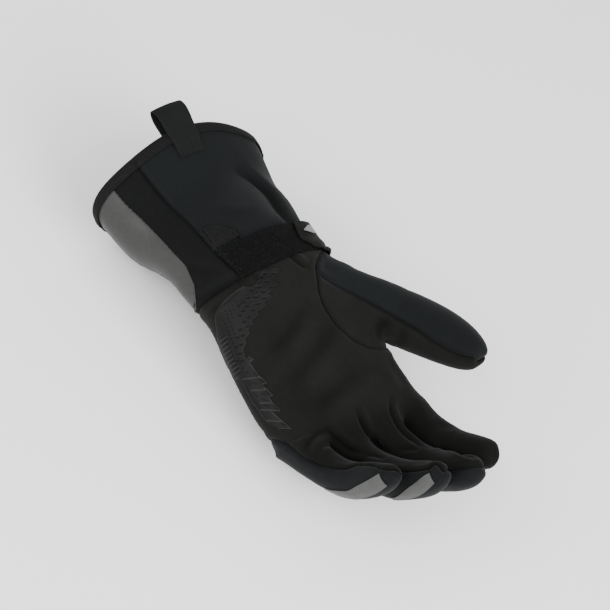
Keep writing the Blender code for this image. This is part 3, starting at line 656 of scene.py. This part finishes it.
finishColumns = (
    "colour", "roughness", "specular", "face", "scale", "bump", "depth", "mottle", "cloud", "sheen",
)
finishRows = {  # depth in mm
    "softshell": ((0.0042, 0.005, 0.0055), 0.78, 0.07, "knit", 1500, 0.12, 0.12, 45, 0.1, 0.04),
    "cuffSoftshell": ((0.0055, 0.0064, 0.0068), 0.8, 0.06, "knit", 1500, 0.12, 0.12, 40, 0.1, 0.03),
    "suede": ((0.0067, 0.0067, 0.0061), 0.92, 0.045, "nap", 1700, 0.25, 0.14, 36, 0.26, 0.04),
    "stretchCloth": ((0.0043, 0.0044, 0.0044), 0.85, 0.05, "knit", 1250, 0.18, 0.12, 40, 0.1, 0.02),
    "bindingTape": ((0.0048, 0.005, 0.0048), 0.8, 0.08, "twill", 300, 0.35, 0.16, 80, 0.12, 0.02),
    "loopTape": ((0.006, 0.0066, 0.0065), 0.8, 0.07, "twill", 330, 0.35, 0.16, 80, 0.12, 0.02),
    "loopPile": ((0.0033, 0.0033, 0.0033), 0.95, 0.035, "nap", 900, 0.6, 0.5, 120, 0.3, 0.015),
    "tabCloth": ((0.004, 0.004, 0.0034), 0.6, 0.06, "knit", 1900, 0.08, 0.1, 90, 0.12, 0),
    "laminate": ((0.031, 0.031, 0.0302), 0.42, 0.13, "knit", 1200, 0.05, 0.1, 60, 0.06, 0),
    "brightFilm": ((0.16, 0.16, 0.157), 0.4, 0.17, "knit", 1600, 0.05, 0.08, 90, 0.05, 0),
    "fingerFilm": ((0.051, 0.051, 0.05), 0.42, 0.15, "knit", 1600, 0.05, 0.08, 90, 0.08, 0),
    "net": ((0.016, 0.0165, 0.0165), 0.55, 0.15, "nap", 2500, 0.1, 0.05, 200, 0.15, 0),
    "netGround": ((0.002, 0.002, 0.002), 0.9, 0.04, "nap", 1500, 0.2, 0.1, 90, 0.15, 0),
    "silicone": ((0.0045, 0.0045, 0.0044), 0.48, 0.085, "nap", 1100, 0.08, 0.1, 90, 0.15, 0),
    "thread": ((0.0055, 0.0057, 0.0057), 0.6, 0.1, "nap", 3000, 0.2, 0.04, 200, 0.15, 0),
    "fleece": ((0.0042, 0.0042, 0.0044), 0.95, 0.035, "nap", 700, 0.8, 0.7, 110, 0.25, 0.05),
}
# the other three are strengths of painted shade in grooves, painted highlight on ridges and painted shade on
# the fingers
usualToneAndPaintedLight = {"amount": 0.35, "soil": 0.0, "dirt": 0.5, "rub": 0.3}  # amount is the swing of the face's tone
ownToneAndPaintedLight = {
    "softshell": {"soil": 0.15},
    "suede": {"soil": 0.42},
    "loopPile": {"amount": 2.6},
    # silicone: strong painted shade in the dents of its relief and painted highlight on its rims
    "silicone": {"dirt": 0.8, "rub": 2.6},
    "fleece": {"amount": 0.9},
}


def newMaterial(name):
    values = dict(zip(finishColumns, finishRows[name])) | usualToneAndPaintedLight | ownToneAndPaintedLight.get(name, {})
    made = bpy.data.materials.new(name)
    made.use_nodes = True
    tree = made.node_tree
    own = tree.nodes.new("ShaderNodeTexCoord").outputs["Object"]
    close = {"Vector": own, "Scale": float(values["scale"]), "Amount": values["amount"]}
    face = addNode(tree, "ShaderNodeGroup", {"node_tree": groups[values["face"]]}, close)
    cloudy = {"Vector": own, "Scale": float(values["mottle"]), "Strength": values["cloud"]}
    cloud = addNode(tree, "ShaderNodeGroup", {"node_tree": groups["mottle"]}, cloudy)
    # painted shade in seams and folds, painted highlight on ridges, and painted shade on the fingers
    paintedLightInputs = {"Dirt": values["dirt"], "Rub": values["rub"]}
    for label in ("Seam", "Crease", "Soil"):
        paintedLightInputs[label] = addNode(tree, "ShaderNodeAttribute", {"attribute_name": label.lower()}).outputs["Fac"]
    # painted shade on the fingers, as strong as each finish says
    paintedLightInputs["Soil"] = product(tree, paintedLightInputs["Soil"], values["soil"])
    paintedLightNode = addNode(tree, "ShaderNodeGroup", {"node_tree": groups["wear"]}, paintedLightInputs)
    # the face's tone, the cloudy tone, and the painted shade and highlight
    tone = product(tree, product(tree, face.outputs["Tone"], cloud.outputs["Tone"]), paintedLightNode.outputs["Tone"])
    paint = {0: values["colour"], "Scale": tone}
    shape = {"Height": face.outputs["Height"], "Strength": values["bump"], "Distance": values["depth"] * mm}
    setInputs(tree, tree.nodes["Principled BSDF"], {
        "Base Color": addNode(tree, "ShaderNodeVectorMath", {"operation": "SCALE"}, paint).outputs[0],
        "Normal": addNode(tree, "ShaderNodeBump", None, shape).outputs[0],
        "Roughness": values["roughness"],
        "Specular IOR Level": values["specular"],
        "Sheen Weight": values["sheen"],
    })
    return made


finish = {name: newMaterial(name) for name in finishRows}
print("materials mixed:", len(finish))


def dressed(piece, slot, look, replaced=True):
    # Shades a finished piece smooth with sharp edges, joins it to the glove's body, hides the solid that it
    # replaces, if any, and gives it its finish
    mesh = bmesh.new()
    mesh.from_mesh(piece.data)
    for face in mesh.faces:
        face.smooth = True
    for edge in mesh.edges:
        edge.smooth = edge.calc_face_angle(0.0) < math.radians(shell["sharp"])
    mesh.to_mesh(piece.data)
    mesh.free()
    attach(piece, "root")
    if replaced:
        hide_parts(slot)
    piece.data.materials.clear()
    piece.data.materials.append(finish[look])
    return piece


# Cloth panels, each with its own thickness
panelLook = {
    "palm": "suede", "hand_back": "softshell", "thumb_front": "suede", "thumb_back": "softshell",
    "cuff_front": "cuffSoftshell", "cuff_side": "stretchCloth", "cuff_back": "cuffSoftshell",
}


def panelPiece(index, name):
    mesh = bmesh.new()
    mesh.from_mesh(cloth.data)
    others = [face for face in mesh.faces if face.material_index != index]
    bmesh.ops.delete(mesh, geom=others, context="FACES")
    for face in mesh.faces:
        face.material_index = 0
    words = name.split("_")
    piece = objectOf(mesh, words[0] + "".join(word.capitalize() for word in words[1:]) + "Cloth")
    applied(piece, "SOLIDIFY", thickness=shell["cloth"], offset=-1, use_even_offset=False)
    dressed(piece, name, panelLook[name])
    return piece


panelPieces = {name: panelPiece(index, name) for index, name in enumerate(panels)}
print("panels cut:", len(panelPieces))


def addLining():
    # Fleece inside the shell, from the opening to the fingertips
    piece = subdivided(sewnShell(), 2)
    piece.name = piece.data.name = "fleeceLining"
    for polygon in piece.data.polygons:
        polygon.material_index = 0
    places, normals = placesOf(piece.data), normalsOf(piece.data)
    depth = shell["cloth"] + shell["liningGap"]
    for vert, place, normal in zip(piece.data.vertices, places, normals):
        vert.co = carried(Vector(place)) - Vector(normal) * depth
    piece.data.update()
    applied(piece, "SOLIDIFY", thickness=shell["lining"], offset=-1, use_even_offset=False)
    dressed(piece, "palm", "fleece", False)


addLining()
bpy.data.objects.remove(cloth)
print("lining sewn in")


# Tapes and films: finer copies of their solids, laid down on the folded cloth
trimColumns = ("node", "levels", "hold", "sink", "look")
trimRows = {  # hold keeps an edge sharp, sink is in mm
    "cuffBinding": ("cuff_binding", 2, 0.2, 0.0, "bindingTape"),
    "pullLoop": ("pull_loop", 3, 0.6, 0.4, "loopTape"),
    "wristStrap": ("wrist_strap", 4, 0.6, 0.1, "loopPile"),
    "wristTab": ("wrist_tab", 2, 0.6, 0.0, "tabCloth"),
    "tabReflector": ("tab_reflector", 2, 0.9, 0.2, "brightFilm"),
    "netGroundCloth": ("mesh_insert", 3, 1.0, 0.9, "netGround"),
    "littleReflector": ("finger_reflector_little", 3, 1.0, 0.7, "fingerFilm"),
    "ringReflector": ("finger_reflector_ring", 3, 1.0, 0.7, "fingerFilm"),
}
trims = {name: dict(zip(trimColumns, row)) for name, row in trimRows.items()}
fuzz = {"wristStrap": (0.30, 700)}  # height in mm and scale of the pile's tufts


def addTrim(name, trim):
    mesh = mergedCopy(trim["node"])
    held = mesh.edges.layers.float.new("crease_edge")
    for edge in mesh.edges:
        if edge.calc_face_angle(0.0) > math.radians(shell["sharp"]):
            edge[held] = trim["hold"]
    piece = subdivided(objectOf(mesh, name), trim["levels"])
    for vert in piece.data.vertices:
        vert.co = carried(vert.co.copy(), trim["sink"] * mm)
    piece.data.update()
    if name in fuzz:
        height, scale = fuzz[name]
        normals = [v.normal.copy() for v in piece.data.vertices]
        for vert, normal in zip(piece.data.vertices, normals):
            tuft = noise.noise(vert.co * scale) + 0.6 * noise.noise(vert.co * scale * 2.3)
            vert.co += normal * height * mm * tuft
        piece.data.update()
    return dressed(piece, trim["node"], trim["look"])


trimPieces = {name: addTrim(name, trim) for name, trim in trims.items()}
print("trims laid:", len(trimPieces))


# Grip patches in silicone relief on the palm, and the reflective film on the cuff
sections = np.array([  # y, lowest and highest x, lowest and highest z of the body, in mm
    (-118, -49, 77, 2, 82), (-105, -49, 74, 0, 79), (-90, -48, 68, -5, 68), (-75, -42, 65, 7, 73),
    (-62, -35, 65, 16, 77), (-49, -30, 66, 20, 78), (-30, -31, 66, 19, 77), (-18, -38, 62, 16, 71),
    (3, -43, 64, 9, 62), (26, -46, 64, 3, 54), (47, -48, 64, -2, 48), (64, -48, 64, -4, 46),
])


def bodyAim(turn, y):
    # The body's middle at this y in mm, and the way from it towards this turn, in degrees from the little
    # finger's side to 90 at the palm
    lowX, highX, lowZ, highZ = (np.interp(y, sections[:, 0], sections[:, k]) for k in range(1, 5))
    turn = math.radians(turn)
    centre = Vector(((lowX + highX) / 2, y, (lowZ + highZ) / 2)) * mm
    across, over = (highX - lowX) / 2 * math.cos(turn), (highZ - lowZ) / 2 * math.sin(turn)
    return centre, Vector((across, 0, over)).normalized()


heelMargin = [  # the patch's smooth border on the little finger's side
    (243.3, 285.3), (237.5, 288.7), (229, 295.3), (220, 303.7), (215.4, 310.3), (214.6, 320.3),
    (216.3, 331), (217.5, 342), (219.6, 352), (224, 362), (230, 372),
]
gripHeel = {
    "edges": [
        (-28, 92, 60), (-25, 92, 30), (-22, 92, 8), (-18, 90, -8), (-11, 84, -18), (-5, 76, -20),
        (0, 68, -20), (5, 60, -18), (9, 52, -12), (15, 44, -8),
    ],
    "grid": (210, 220),  # columns and rows
    "look": "silicone",
    "outline": [
        *heelMargin,
        (236, 380), (241, 380), (246, 372), (249, 364), (246, 356), (244, 350), (247, 342.8), (246, 338.5),
        (250.4, 333.7), (249, 329), (253.5, 323.7), (252.5, 320), (259.5, 315), (258, 311), (267.8, 305.6),
        (265, 302), (273.4, 296.6), (269, 293.5), (279.6, 283.6), (272.5, 280.5), (281, 268.4),
        (270, 266.5), (262, 270), (258, 275), (256, 283), (250, 285.5),
    ],
    "dents": [
        (251.7, 290.3), (263.3, 291.6), (264.2, 298), (271.3, 287), (259.2, 287), (252.9, 309.9),
        (242.9, 302), (238.8, 305.8), (266.5, 281.5), (273, 273.5), (262, 277), (256, 297), (248.5, 297.5),
        (257.5, 303.5), (247, 306), (243.5, 311), (249, 317), (240, 315.5), (244.5, 322), (248, 326.5),
        (240.5, 330), (243, 336), (237.5, 338), (241, 345), (236, 347.5), (240, 354), (237, 361),
        (243, 361), (265, 273.5),
    ],
    "height": 0.35,
    "dimples": (3.9, 4.6),  # from one to the next, down and across the photograph
    "dent": (3.2, 1.15),  # half its length and width
    "bars": 4.3,  # from one to the next
}
edgeSide = [(234, 371.7), (240.7, 381), (247.3, 393), (252, 402.3), (258.7, 411), (264, 419)]
gripEdge = {
    "edges": [
        (3, 50, -14), (10, 44, -14), (20, 40, -10), (30, 40, -4), (40, 42, 4), (50, 42, 14), (60, 42, 24),
    ],
    "grid": (130, 260),  # columns and rows
    "look": "silicone",
    "outline": [
        (230, 366), *edgeSide, (269, 424.5), (278, 429), (292.4, 429), (281.8, 420), (274, 412),
        (281.4, 411.2), (273.2, 402.6), (269.5, 397), (273.8, 395.9), (268.2, 389.8), (263.5, 384.3),
        (267.8, 383.8), (262.8, 377.8), (259, 375.4), (250.4, 362.5), (254.8, 359.3), (248.3, 355.6),
        (242, 362),
    ],
    "lines": [
        [(248.3, 356), (254.3, 359.3), (250, 361.4)],
        [(250, 363), (258.7, 375.7), (262.7, 378.3), (267.3, 383.7), (263.3, 384)],
        [(264, 387.7), (268, 390.3), (273.3, 395.7), (269.3, 396.3)],
        [(269.3, 398.3), (272.7, 403), (281, 411), (275.3, 411)],
        [(272, 412.3), (281.3, 420.3), (292, 428.7), (280, 428.3)],
        [(243.3, 379), (252, 378.3), (258.7, 377), (262, 378.3)],
        [(251.3, 390.3), (260, 390.3), (266.7, 389)], [(260, 403), (271.3, 403)],
        [(260.7, 409.7), (265.3, 410), (275.3, 410.3)],
        [*edgeSide, (268, 423.7)],
        [(267, 420.5), (274, 421), (283, 421.8)],
    ],
    "grooves": [
        [(246, 386), (250.5, 394), (254, 401), (259, 405.5), (261, 410)], [(260.5, 379.5), (264.5, 382)],
        [(266, 391), (270.5, 395)], [(254, 372), (257.5, 376)], [(274, 405), (278, 409.5)],
        [(281, 422.5), (285, 425)], [(247, 381), (250, 385)], [(254, 393), (257, 397)],
        [(262, 393.5), (266, 394.5)], [(262, 399), (266, 400.5)], [(264, 405.5), (269, 407)],
        [(244, 371), (248, 373.5)], [(252, 383), (256, 384)],
    ],
    "height": 0.28,
}


moulding = {"least": 0.02, "over": 0.05, "under": 0.25, "thickness": 0.5, "evening": 8}  # mm, and rounds


def segmentDistance(spots, a, b):
    a, b = np.array(a, float), np.array(b, float)
    run = b - a
    t = np.clip(((spots - a) @ run) / (run @ run), 0, 1)
    return np.linalg.norm(spots - a - t[:, None] * run, axis=1)


def lineDistance(spots, line):
    return np.min([segmentDistance(spots, a, b) for a, b in zip(line, line[1:])], axis=0)


def patchBase(spots, patch, soft):
    # Which places the patch covers, how far each is from its outline, and its height there
    inside = within(spots, patch["outline"])
    edge = lineDistance(spots, patch["outline"] + patch["outline"][:1])
    return inside, edge, np.where(inside, stepUp(edge, 0.0, soft), 0.0) * patch["height"]


def heelRelief(spots):
    # Height in mm and painted tone at places in the photograph: a smooth margin, then small dimples,
    # leaf-shaped dents and short bars. The tone is painted shade in the dimples, the dents and the gaps
    # between the bars, and painted highlight on the rims, the margin's border and the bars' tops
    inside, edge, base = patchBase(spots, gripHeel, 0.8)
    margin = lineDistance(spots, heelMargin)
    field = stepUp(margin, 7.5, 8.5) * (1 - 0.75 * stepUp(margin, 16, 20)) * inside
    high, wide = gripHeel["dimples"]
    down, across = spots @ np.array((0.62, 0.785)) / high, spots @ np.array((0.93, -0.37)) / wide
    down = down + 0.5 * (np.floor(across) % 2)
    fromDown, fromAcross = down - np.floor(down) - 0.5, across - np.floor(across) - 0.5
    dots = np.hypot(fromDown * high * 1.25, fromAcross * wide * 0.9)
    holes = (1 - stepUp(dots, 0.4, 1.3)) * field
    long, broad = gripHeel["dent"]
    for x, y in gripHeel["dents"]:
        dent = np.hypot((spots[:, 0] - x) / long, (spots[:, 1] - y + 0.12 * (spots[:, 0] - x)) / broad)
        holes = np.maximum(holes, (1 - stepUp(dent, 0.45, 1.0)) * inside)
    rim = np.exp(-(((edge - 0.9) / 0.6) ** 2)) * stepUp(margin, 8, 12) * inside
    # painted highlight along the margin's raised border
    borderHighlight = 0.45 * np.exp(-(((margin - 0.9) / 0.8) ** 2)) * inside
    # painted shade in the dimples and dents, and painted highlight on the rim
    height, tone = base - 0.24 * holes + 0.08 * rim, -0.95 * holes + 0.28 * rim + borderHighlight
    bars = stepUp(11.0 - margin, 0.0, 1.0) * stepUp(margin, 3.4, 4.4) * stepUp(spots[:, 1], 333, 339) * inside
    ribs = 0.5 + 0.5 * np.cos(2 * math.pi * (spots @ np.array((0.64, 0.77))) / gripHeel["bars"])
    lifted = stepUp(ribs, 0.35, 0.85)
    # painted highlight on the bars' tops, and painted shade between them
    return height + 0.22 * lifted * bars, tone * (1 - bars) + (1.5 * lifted - 0.8) * bars


def edgeRelief(spots):
    # The same for the strip beside it: cells between raised lines, with a toothed edge. Its tone is painted
    # highlight on the lines and painted shade in the grooves
    base = patchBase(spots, gripEdge, 0.6)[2]
    raised, grooves = (
        np.exp(-((np.min([lineDistance(spots, line) for line in gripEdge[key]], axis=0) / width) ** 2))
        * (base > moulding["least"])
        for key, width in (("lines", 0.6), ("grooves", 0.7))
    )
    return base + 0.2 * raised - 0.14 * grooves * (1 - raised), 1.3 * raised - 0.8 * grooves * (1 - raised)


def filmRelief(spots):
    # A film of even height up to the edge that the photograph shows
    return patchBase(spots, film, 0.8)[2], np.zeros(len(spots))


def addGrip(name, slot, patch, relief):
    # A fine grid over the cloth, raised where the patch is and cut away where it isn't
    table = np.array(patch["edges"], float)
    columns, rows = patch["grid"]
    places = np.zeros((rows, columns, 3))
    for i, y in enumerate(np.linspace(table[0, 0], table[-1, 0], rows)):
        start, end = np.interp(y, table[:, 0], table[:, 1]), np.interp(y, table[:, 0], table[:, 2])
        for j, turn in enumerate(np.linspace(start, end, columns)):
            places[i, j] = clothTree.ray_cast(*bodyAim(turn, y))[0]
    for step in range(moulding["evening"]):  # evens out the cloth's faces under the patch
        places[1:-1, 1:-1] = (places[:-2, 1:-1] + places[2:, 1:-1] + places[1:-1, :-2] + places[1:-1, 2:]) / 4
    normals = np.cross(np.gradient(places, axis=0), np.gradient(places, axis=1))
    normals /= np.linalg.norm(normals, axis=2)[:, :, None]
    if (normals.reshape(-1, 3) @ np.array(back)).mean() < 0:
        normals = -normals
    faced = (normals.reshape(-1, 3) @ np.array(back) > 0.03) | patch.get("wraps", False)
    spots = pictured(places.reshape(-1, 3))
    heights, tones = ((values * faced).reshape(rows, columns) for values in relief(spots))
    for side in (heights[:1], heights[-1:], heights[:, :1], heights[:, -1:]):
        side[:] = 0
    lifts = heights + np.where(heights > moulding["least"], moulding["over"], -moulding["under"])
    raised = places + normals * (lifts * mm)[:, :, None]
    sound = np.isfinite(raised).all(axis=2)  # not past the cuff's rim, where the rays find no cloth
    mesh = bmesh.new()
    # the relief's painted shade and highlight, in the layer that the material reads as crease
    toned = mesh.verts.layers.float.new("crease")
    verts = [[mesh.verts.new(p) for p in row] for row in raised]
    for i in range(rows):
        for j in range(columns):
            verts[i][j][toned] = tones[i, j]
    for i in range(rows - 1):
        for j in range(columns - 1):
            if sound[i:i + 2, j:j + 2].all() and heights[i:i + 2, j:j + 2].max() > moulding["least"]:
                made = mesh.faces.new((verts[i][j], verts[i][j + 1], verts[i + 1][j + 1], verts[i + 1][j]))
                made.normal_update()
                if made.normal.dot(Vector(normals[i, j])) < 0:
                    made.normal_flip()
    bmesh.ops.delete(mesh, geom=[v for v in mesh.verts if not v.link_faces], context="VERTS")
    piece = objectOf(mesh, name)
    applied(piece, "SOLIDIFY", thickness=moulding["thickness"] * mm, offset=-1, use_even_offset=False)
    return dressed(piece, slot, patch["look"])


film = {
    "edges": [
        (-119, 30, -43), (-110, 32, -41), (-98, 34, -39), (-84.4, 35, -38), (-77, 34, -39),
        (-69.4, 32, -40), (-55.2, 30, -42), (-44.7, 26, -44), (-38.5, 16, -45), (-33, 4, -45),
    ],
    "grid": (110, 140),  # columns and rows
    "look": "laminate",
    "wraps": True,  # round the edge of what the photograph shows
    "outline": [
        (100, 176), (116, 193), (126, 205), (140, 218), (156, 234), (171, 250), (186, 266), (190, 275),
        (194, 285), (196, 300), (196, 310), (192, 322), (60, 322), (60, 176),
    ],
    "height": 0.3,
}
grips = [
    addGrip("gripHeel", "grip_patch_heel", gripHeel, heelRelief),
    addGrip("gripEdge", "grip_patch_edge", gripEdge, edgeRelief),
    addGrip("reflectivePanel", "reflective_panel", film, filmRelief),
]
print("patches moulded:", [len(piece.data.polygons) for piece in grips])


# Net over the small insert, and the cord that edges it
netTop = [(204, 230), (210, 227.5), (217, 226.5), (225, 226.5), (233, 228.5), (239, 233)]
netting = {
    "outline": [(200, 233), *netTop, (238, 240), (228, 245), (214, 251), (208, 243)],
    "cord": [(201, 232.5), *netTop, (241, 239)],
    "middle": (219, 238),
    "pitch": 1.02,  # half a square's diagonal, in the photograph's pixels
    "wire": 0.34,  # mm
    "lift": 0.3,
    "cordLift": 0.35,
    "cordRadius": 0.55,
    "cordSides": 8,
    "reach": 30,  # squares each way from the middle
}
groundTree = treeOf(trimPieces["netGroundCloth"].data)


def onGround(x, y, lift):
    # On the dark ground of the insert, or on the cloth beside it
    spot, normal = groundTree.ray_cast(eye, sightLine(x, y))[:2]
    if spot is None:
        spot, normal = clothTree.ray_cast(eye, sightLine(x, y))[:2]
    return spot + normal * lift * mm


def addNet():
    # A lattice of slanted squares, laid on the cloth
    pitch, (middleX, middleY) = netting["pitch"], netting["middle"]
    mesh = bmesh.new()
    corners = {}
    reach = range(-netting["reach"], netting["reach"])
    for i in reach:
        for j in reach:
            square = ((i, j), (i + 1, j), (i + 1, j + 1), (i, j + 1))
            spots = [(middleX + (a - b) * pitch, middleY + (a + b) * pitch) for a, b in square]
            if within(np.array([(spots[0][0], (spots[0][1] + spots[2][1]) / 2)]), netting["outline"])[0]:
                for spot in spots:
                    if spot not in corners:
                        corners[spot] = mesh.verts.new(onGround(*spot, netting["lift"]))
                mesh.faces.new([corners[spot] for spot in spots])
    bmesh.ops.recalc_face_normals(mesh, faces=mesh.faces)
    piece = objectOf(mesh, "meshInsertNet")
    applied(piece, "WIREFRAME", thickness=netting["wire"] * mm, offset=0, use_even_offset=False)
    return dressed(piece, "mesh_insert", "net", False)


def tube(name, points, radius, sides):
    # A closed round cord along these points
    mesh = bmesh.new()
    rings = []
    for k, point in enumerate(points):
        ahead = (points[min(k + 1, len(points) - 1)] - points[max(k - 1, 0)]).normalized()
        aside = ahead.cross(back).normalized()
        over = ahead.cross(aside)
        rings.append(ringOf(mesh, point, aside, over, radius, sides))
    joinRings(mesh, rings)
    return objectOf(mesh, name)


def ringOf(mesh, middle, aside, over, radius, sides):
    turns = [2 * math.pi * i / sides for i in range(sides)]
    return [mesh.verts.new(middle + (aside * math.cos(t) + over * math.sin(t)) * radius) for t in turns]


def joinRings(mesh, rings):
    sides = len(rings[0])
    for first, second in zip(rings, rings[1:]):
        for i in range(sides):
            mesh.faces.new((first[i], first[(i + 1) % sides], second[(i + 1) % sides], second[i]))
    mesh.faces.new(list(reversed(rings[0])))
    mesh.faces.new(rings[-1])
    bmesh.ops.recalc_face_normals(mesh, faces=mesh.faces)


net = addNet()
cordLine = smoothLine([onGround(*spot, netting["cordLift"]) for spot in netting["cord"]], 6)
netCord = tube("meshInsertCord", cordLine, netting["cordRadius"] * mm, netting["cordSides"])
dressed(netCord, "mesh_insert", "bindingTape", False)
print("net laid:", len(net.data.polygons))


# Stitches: short thread dashes pressed into the tapes
stitching = {"length": 1.9, "gap": 1.1, "radius": 0.2, "sides": 6}
bindingSeam = {
    "inset": 1.1,  # mm from the binding's inner edge
    "step": 2,  # degrees
    "near": 9,  # degrees of the edge that are looked at
    "far": 150,  # mm
    "break": 8,  # mm: the tape steps here, and a new line starts
}


def seenLine(tree, spots, count=6):
    # A line drawn in the photograph, laid on what the camera sees there
    hits = [tree.ray_cast(eye, sightLine(*spot))[:2] for spot in drawn(spots, count)]
    return [hit for hit in hits if hit[0] is not None]


def addStitches(name, slot, lines):
    # One small capsule for each stitch, along lines of (place, normal)
    mesh = bmesh.new()
    length, gap, radius = (stitching[key] * mm for key in ("length", "gap", "radius"))
    for line in lines:
        points = [place for place, normal in line]
        runs = [0.0]
        for a, b in zip(points, points[1:]):
            runs.append(runs[-1] + (b - a).length)
        start = 0.0
        while start + length < runs[-1]:
            ends = []
            for far in (start, start + length):
                k = min(max(i for i, run in enumerate(runs) if run <= far), len(points) - 2)
                t = (far - runs[k]) / max(runs[k + 1] - runs[k], 1e-9)
                ends.append((points[k].lerp(points[k + 1], t), line[k][1]))
            (a, normal), b = ends[0], ends[1][0]
            aside = (b - a).cross(normal).normalized()
            rings = []
            for t, share in ((0.0, 0.35), (0.25, 1.0), (0.75, 1.0), (1.0, 0.35)):
                middle = a.lerp(b, t) + normal * radius * (0.9 * share - 0.5)
                rings.append(ringOf(mesh, middle, aside, normal, radius * share, stitching["sides"]))
            joinRings(mesh, rings)
            start += length + gap
    return dressed(objectOf(mesh, name), slot, "thread", False)


def bindingLines():
    # Lines round the cuff, broken where the tape steps
    places = placesOf(nodes["cuff_binding"].data) / mm
    y, lowX, highX, lowZ, highZ = sections[0]
    over = (places[:, 2] - (lowZ + highZ) / 2) / (highZ - lowZ)
    across = (places[:, 0] - (lowX + highX) / 2) / (highX - lowX)
    turns = np.degrees(np.arctan2(over, across))
    tree = treeOf(trimPieces["cuffBinding"].data)
    lines = [[]]
    for turn in range(-180, 181, bindingSeam["step"]):
        near = np.abs((turns - turn + 180) % 360 - 180) < bindingSeam["near"]
        centre, aim = bodyAim(turn, places[near, 1].max() - bindingSeam["inset"])
        place, normal = tree.ray_cast(centre + aim * bindingSeam["far"] * mm, -aim)[:2]
        if place is None or (place - centre).dot(aim) < 0:
            continue
        if lines[-1] and (place - lines[-1][-1][0]).length > bindingSeam["break"] * mm:
            lines.append([])
        lines[-1].append((place, normal))
    return [line for line in lines if len(line) > 2]


loopTree, strapTree = treeOf(trimPieces["pullLoop"].data), treeOf(trimPieces["wristStrap"].data)
loopFoot = [(171, 146), (189, 137), (193, 150), (175, 158)]  # the corners of the loop's sewn foot
stitches = [
    addStitches("bindingStitches", "cuff_binding", bindingLines()),
    addStitches("loopStitches", "pull_loop", [
        seenLine(loopTree, ends, 12) for ends in zip(loopFoot, loopFoot[1:] + loopFoot[:1])
    ]),
    addStitches("strapStitches", "wrist_strap", [
        seenLine(strapTree, [(217, 251), (224, 257), (236, 266), (243, 270)]),
    ]),
]
print("stitches sewn:", [len(piece.data.polygons) for piece in stitches])


# Floor and light
studio = {
    "floor": 4.0,
    "paint": {"Base Color": (0.92, 0.92, 0.92, 1), "Roughness": 0.9, "Specular IOR Level": 0.1},
    "sky": {"Color": (1, 1, 1, 1), "Strength": 1.05},
    "lights": [("sideLight", (1.47, -0.1, 1.03), 36, 1.5), ("fingerLight", (0.1, 1.4, 1.12), 46, 1.5)],
}


def addStudio():
    bpy.ops.mesh.primitive_plane_add(size=studio["floor"], location=(0, 0, 0))
    floor = bpy.context.object
    floor.name = "studioFloor"
    floor.data.transform(Matrix.Translation((0, 0, -0.0002)))
    paint = bpy.data.materials.new("floorPaint")
    paint.use_nodes = True
    setInputs(paint.node_tree, paint.node_tree.nodes["Principled BSDF"], studio["paint"])
    floor.data.materials.append(paint)
    world = bpy.data.worlds.new("studio")
    bpy.context.scene.world = world
    world.use_nodes = True
    setInputs(world.node_tree, world.node_tree.nodes["Background"], studio["sky"])
    for name, place, power, size in studio["lights"]:
        lamp = bpy.data.lights.new(name, "AREA")
        lamp.energy = power
        lamp.size = size
        holder = placed(name, lamp)
        holder.location = place
        holder.rotation_mode = "QUATERNION"
        holder.rotation_quaternion = (Vector((0, 0, 0.04)) - Vector(place)).to_track_quat("-Z", "Y")


addStudio()
print("studio lit")
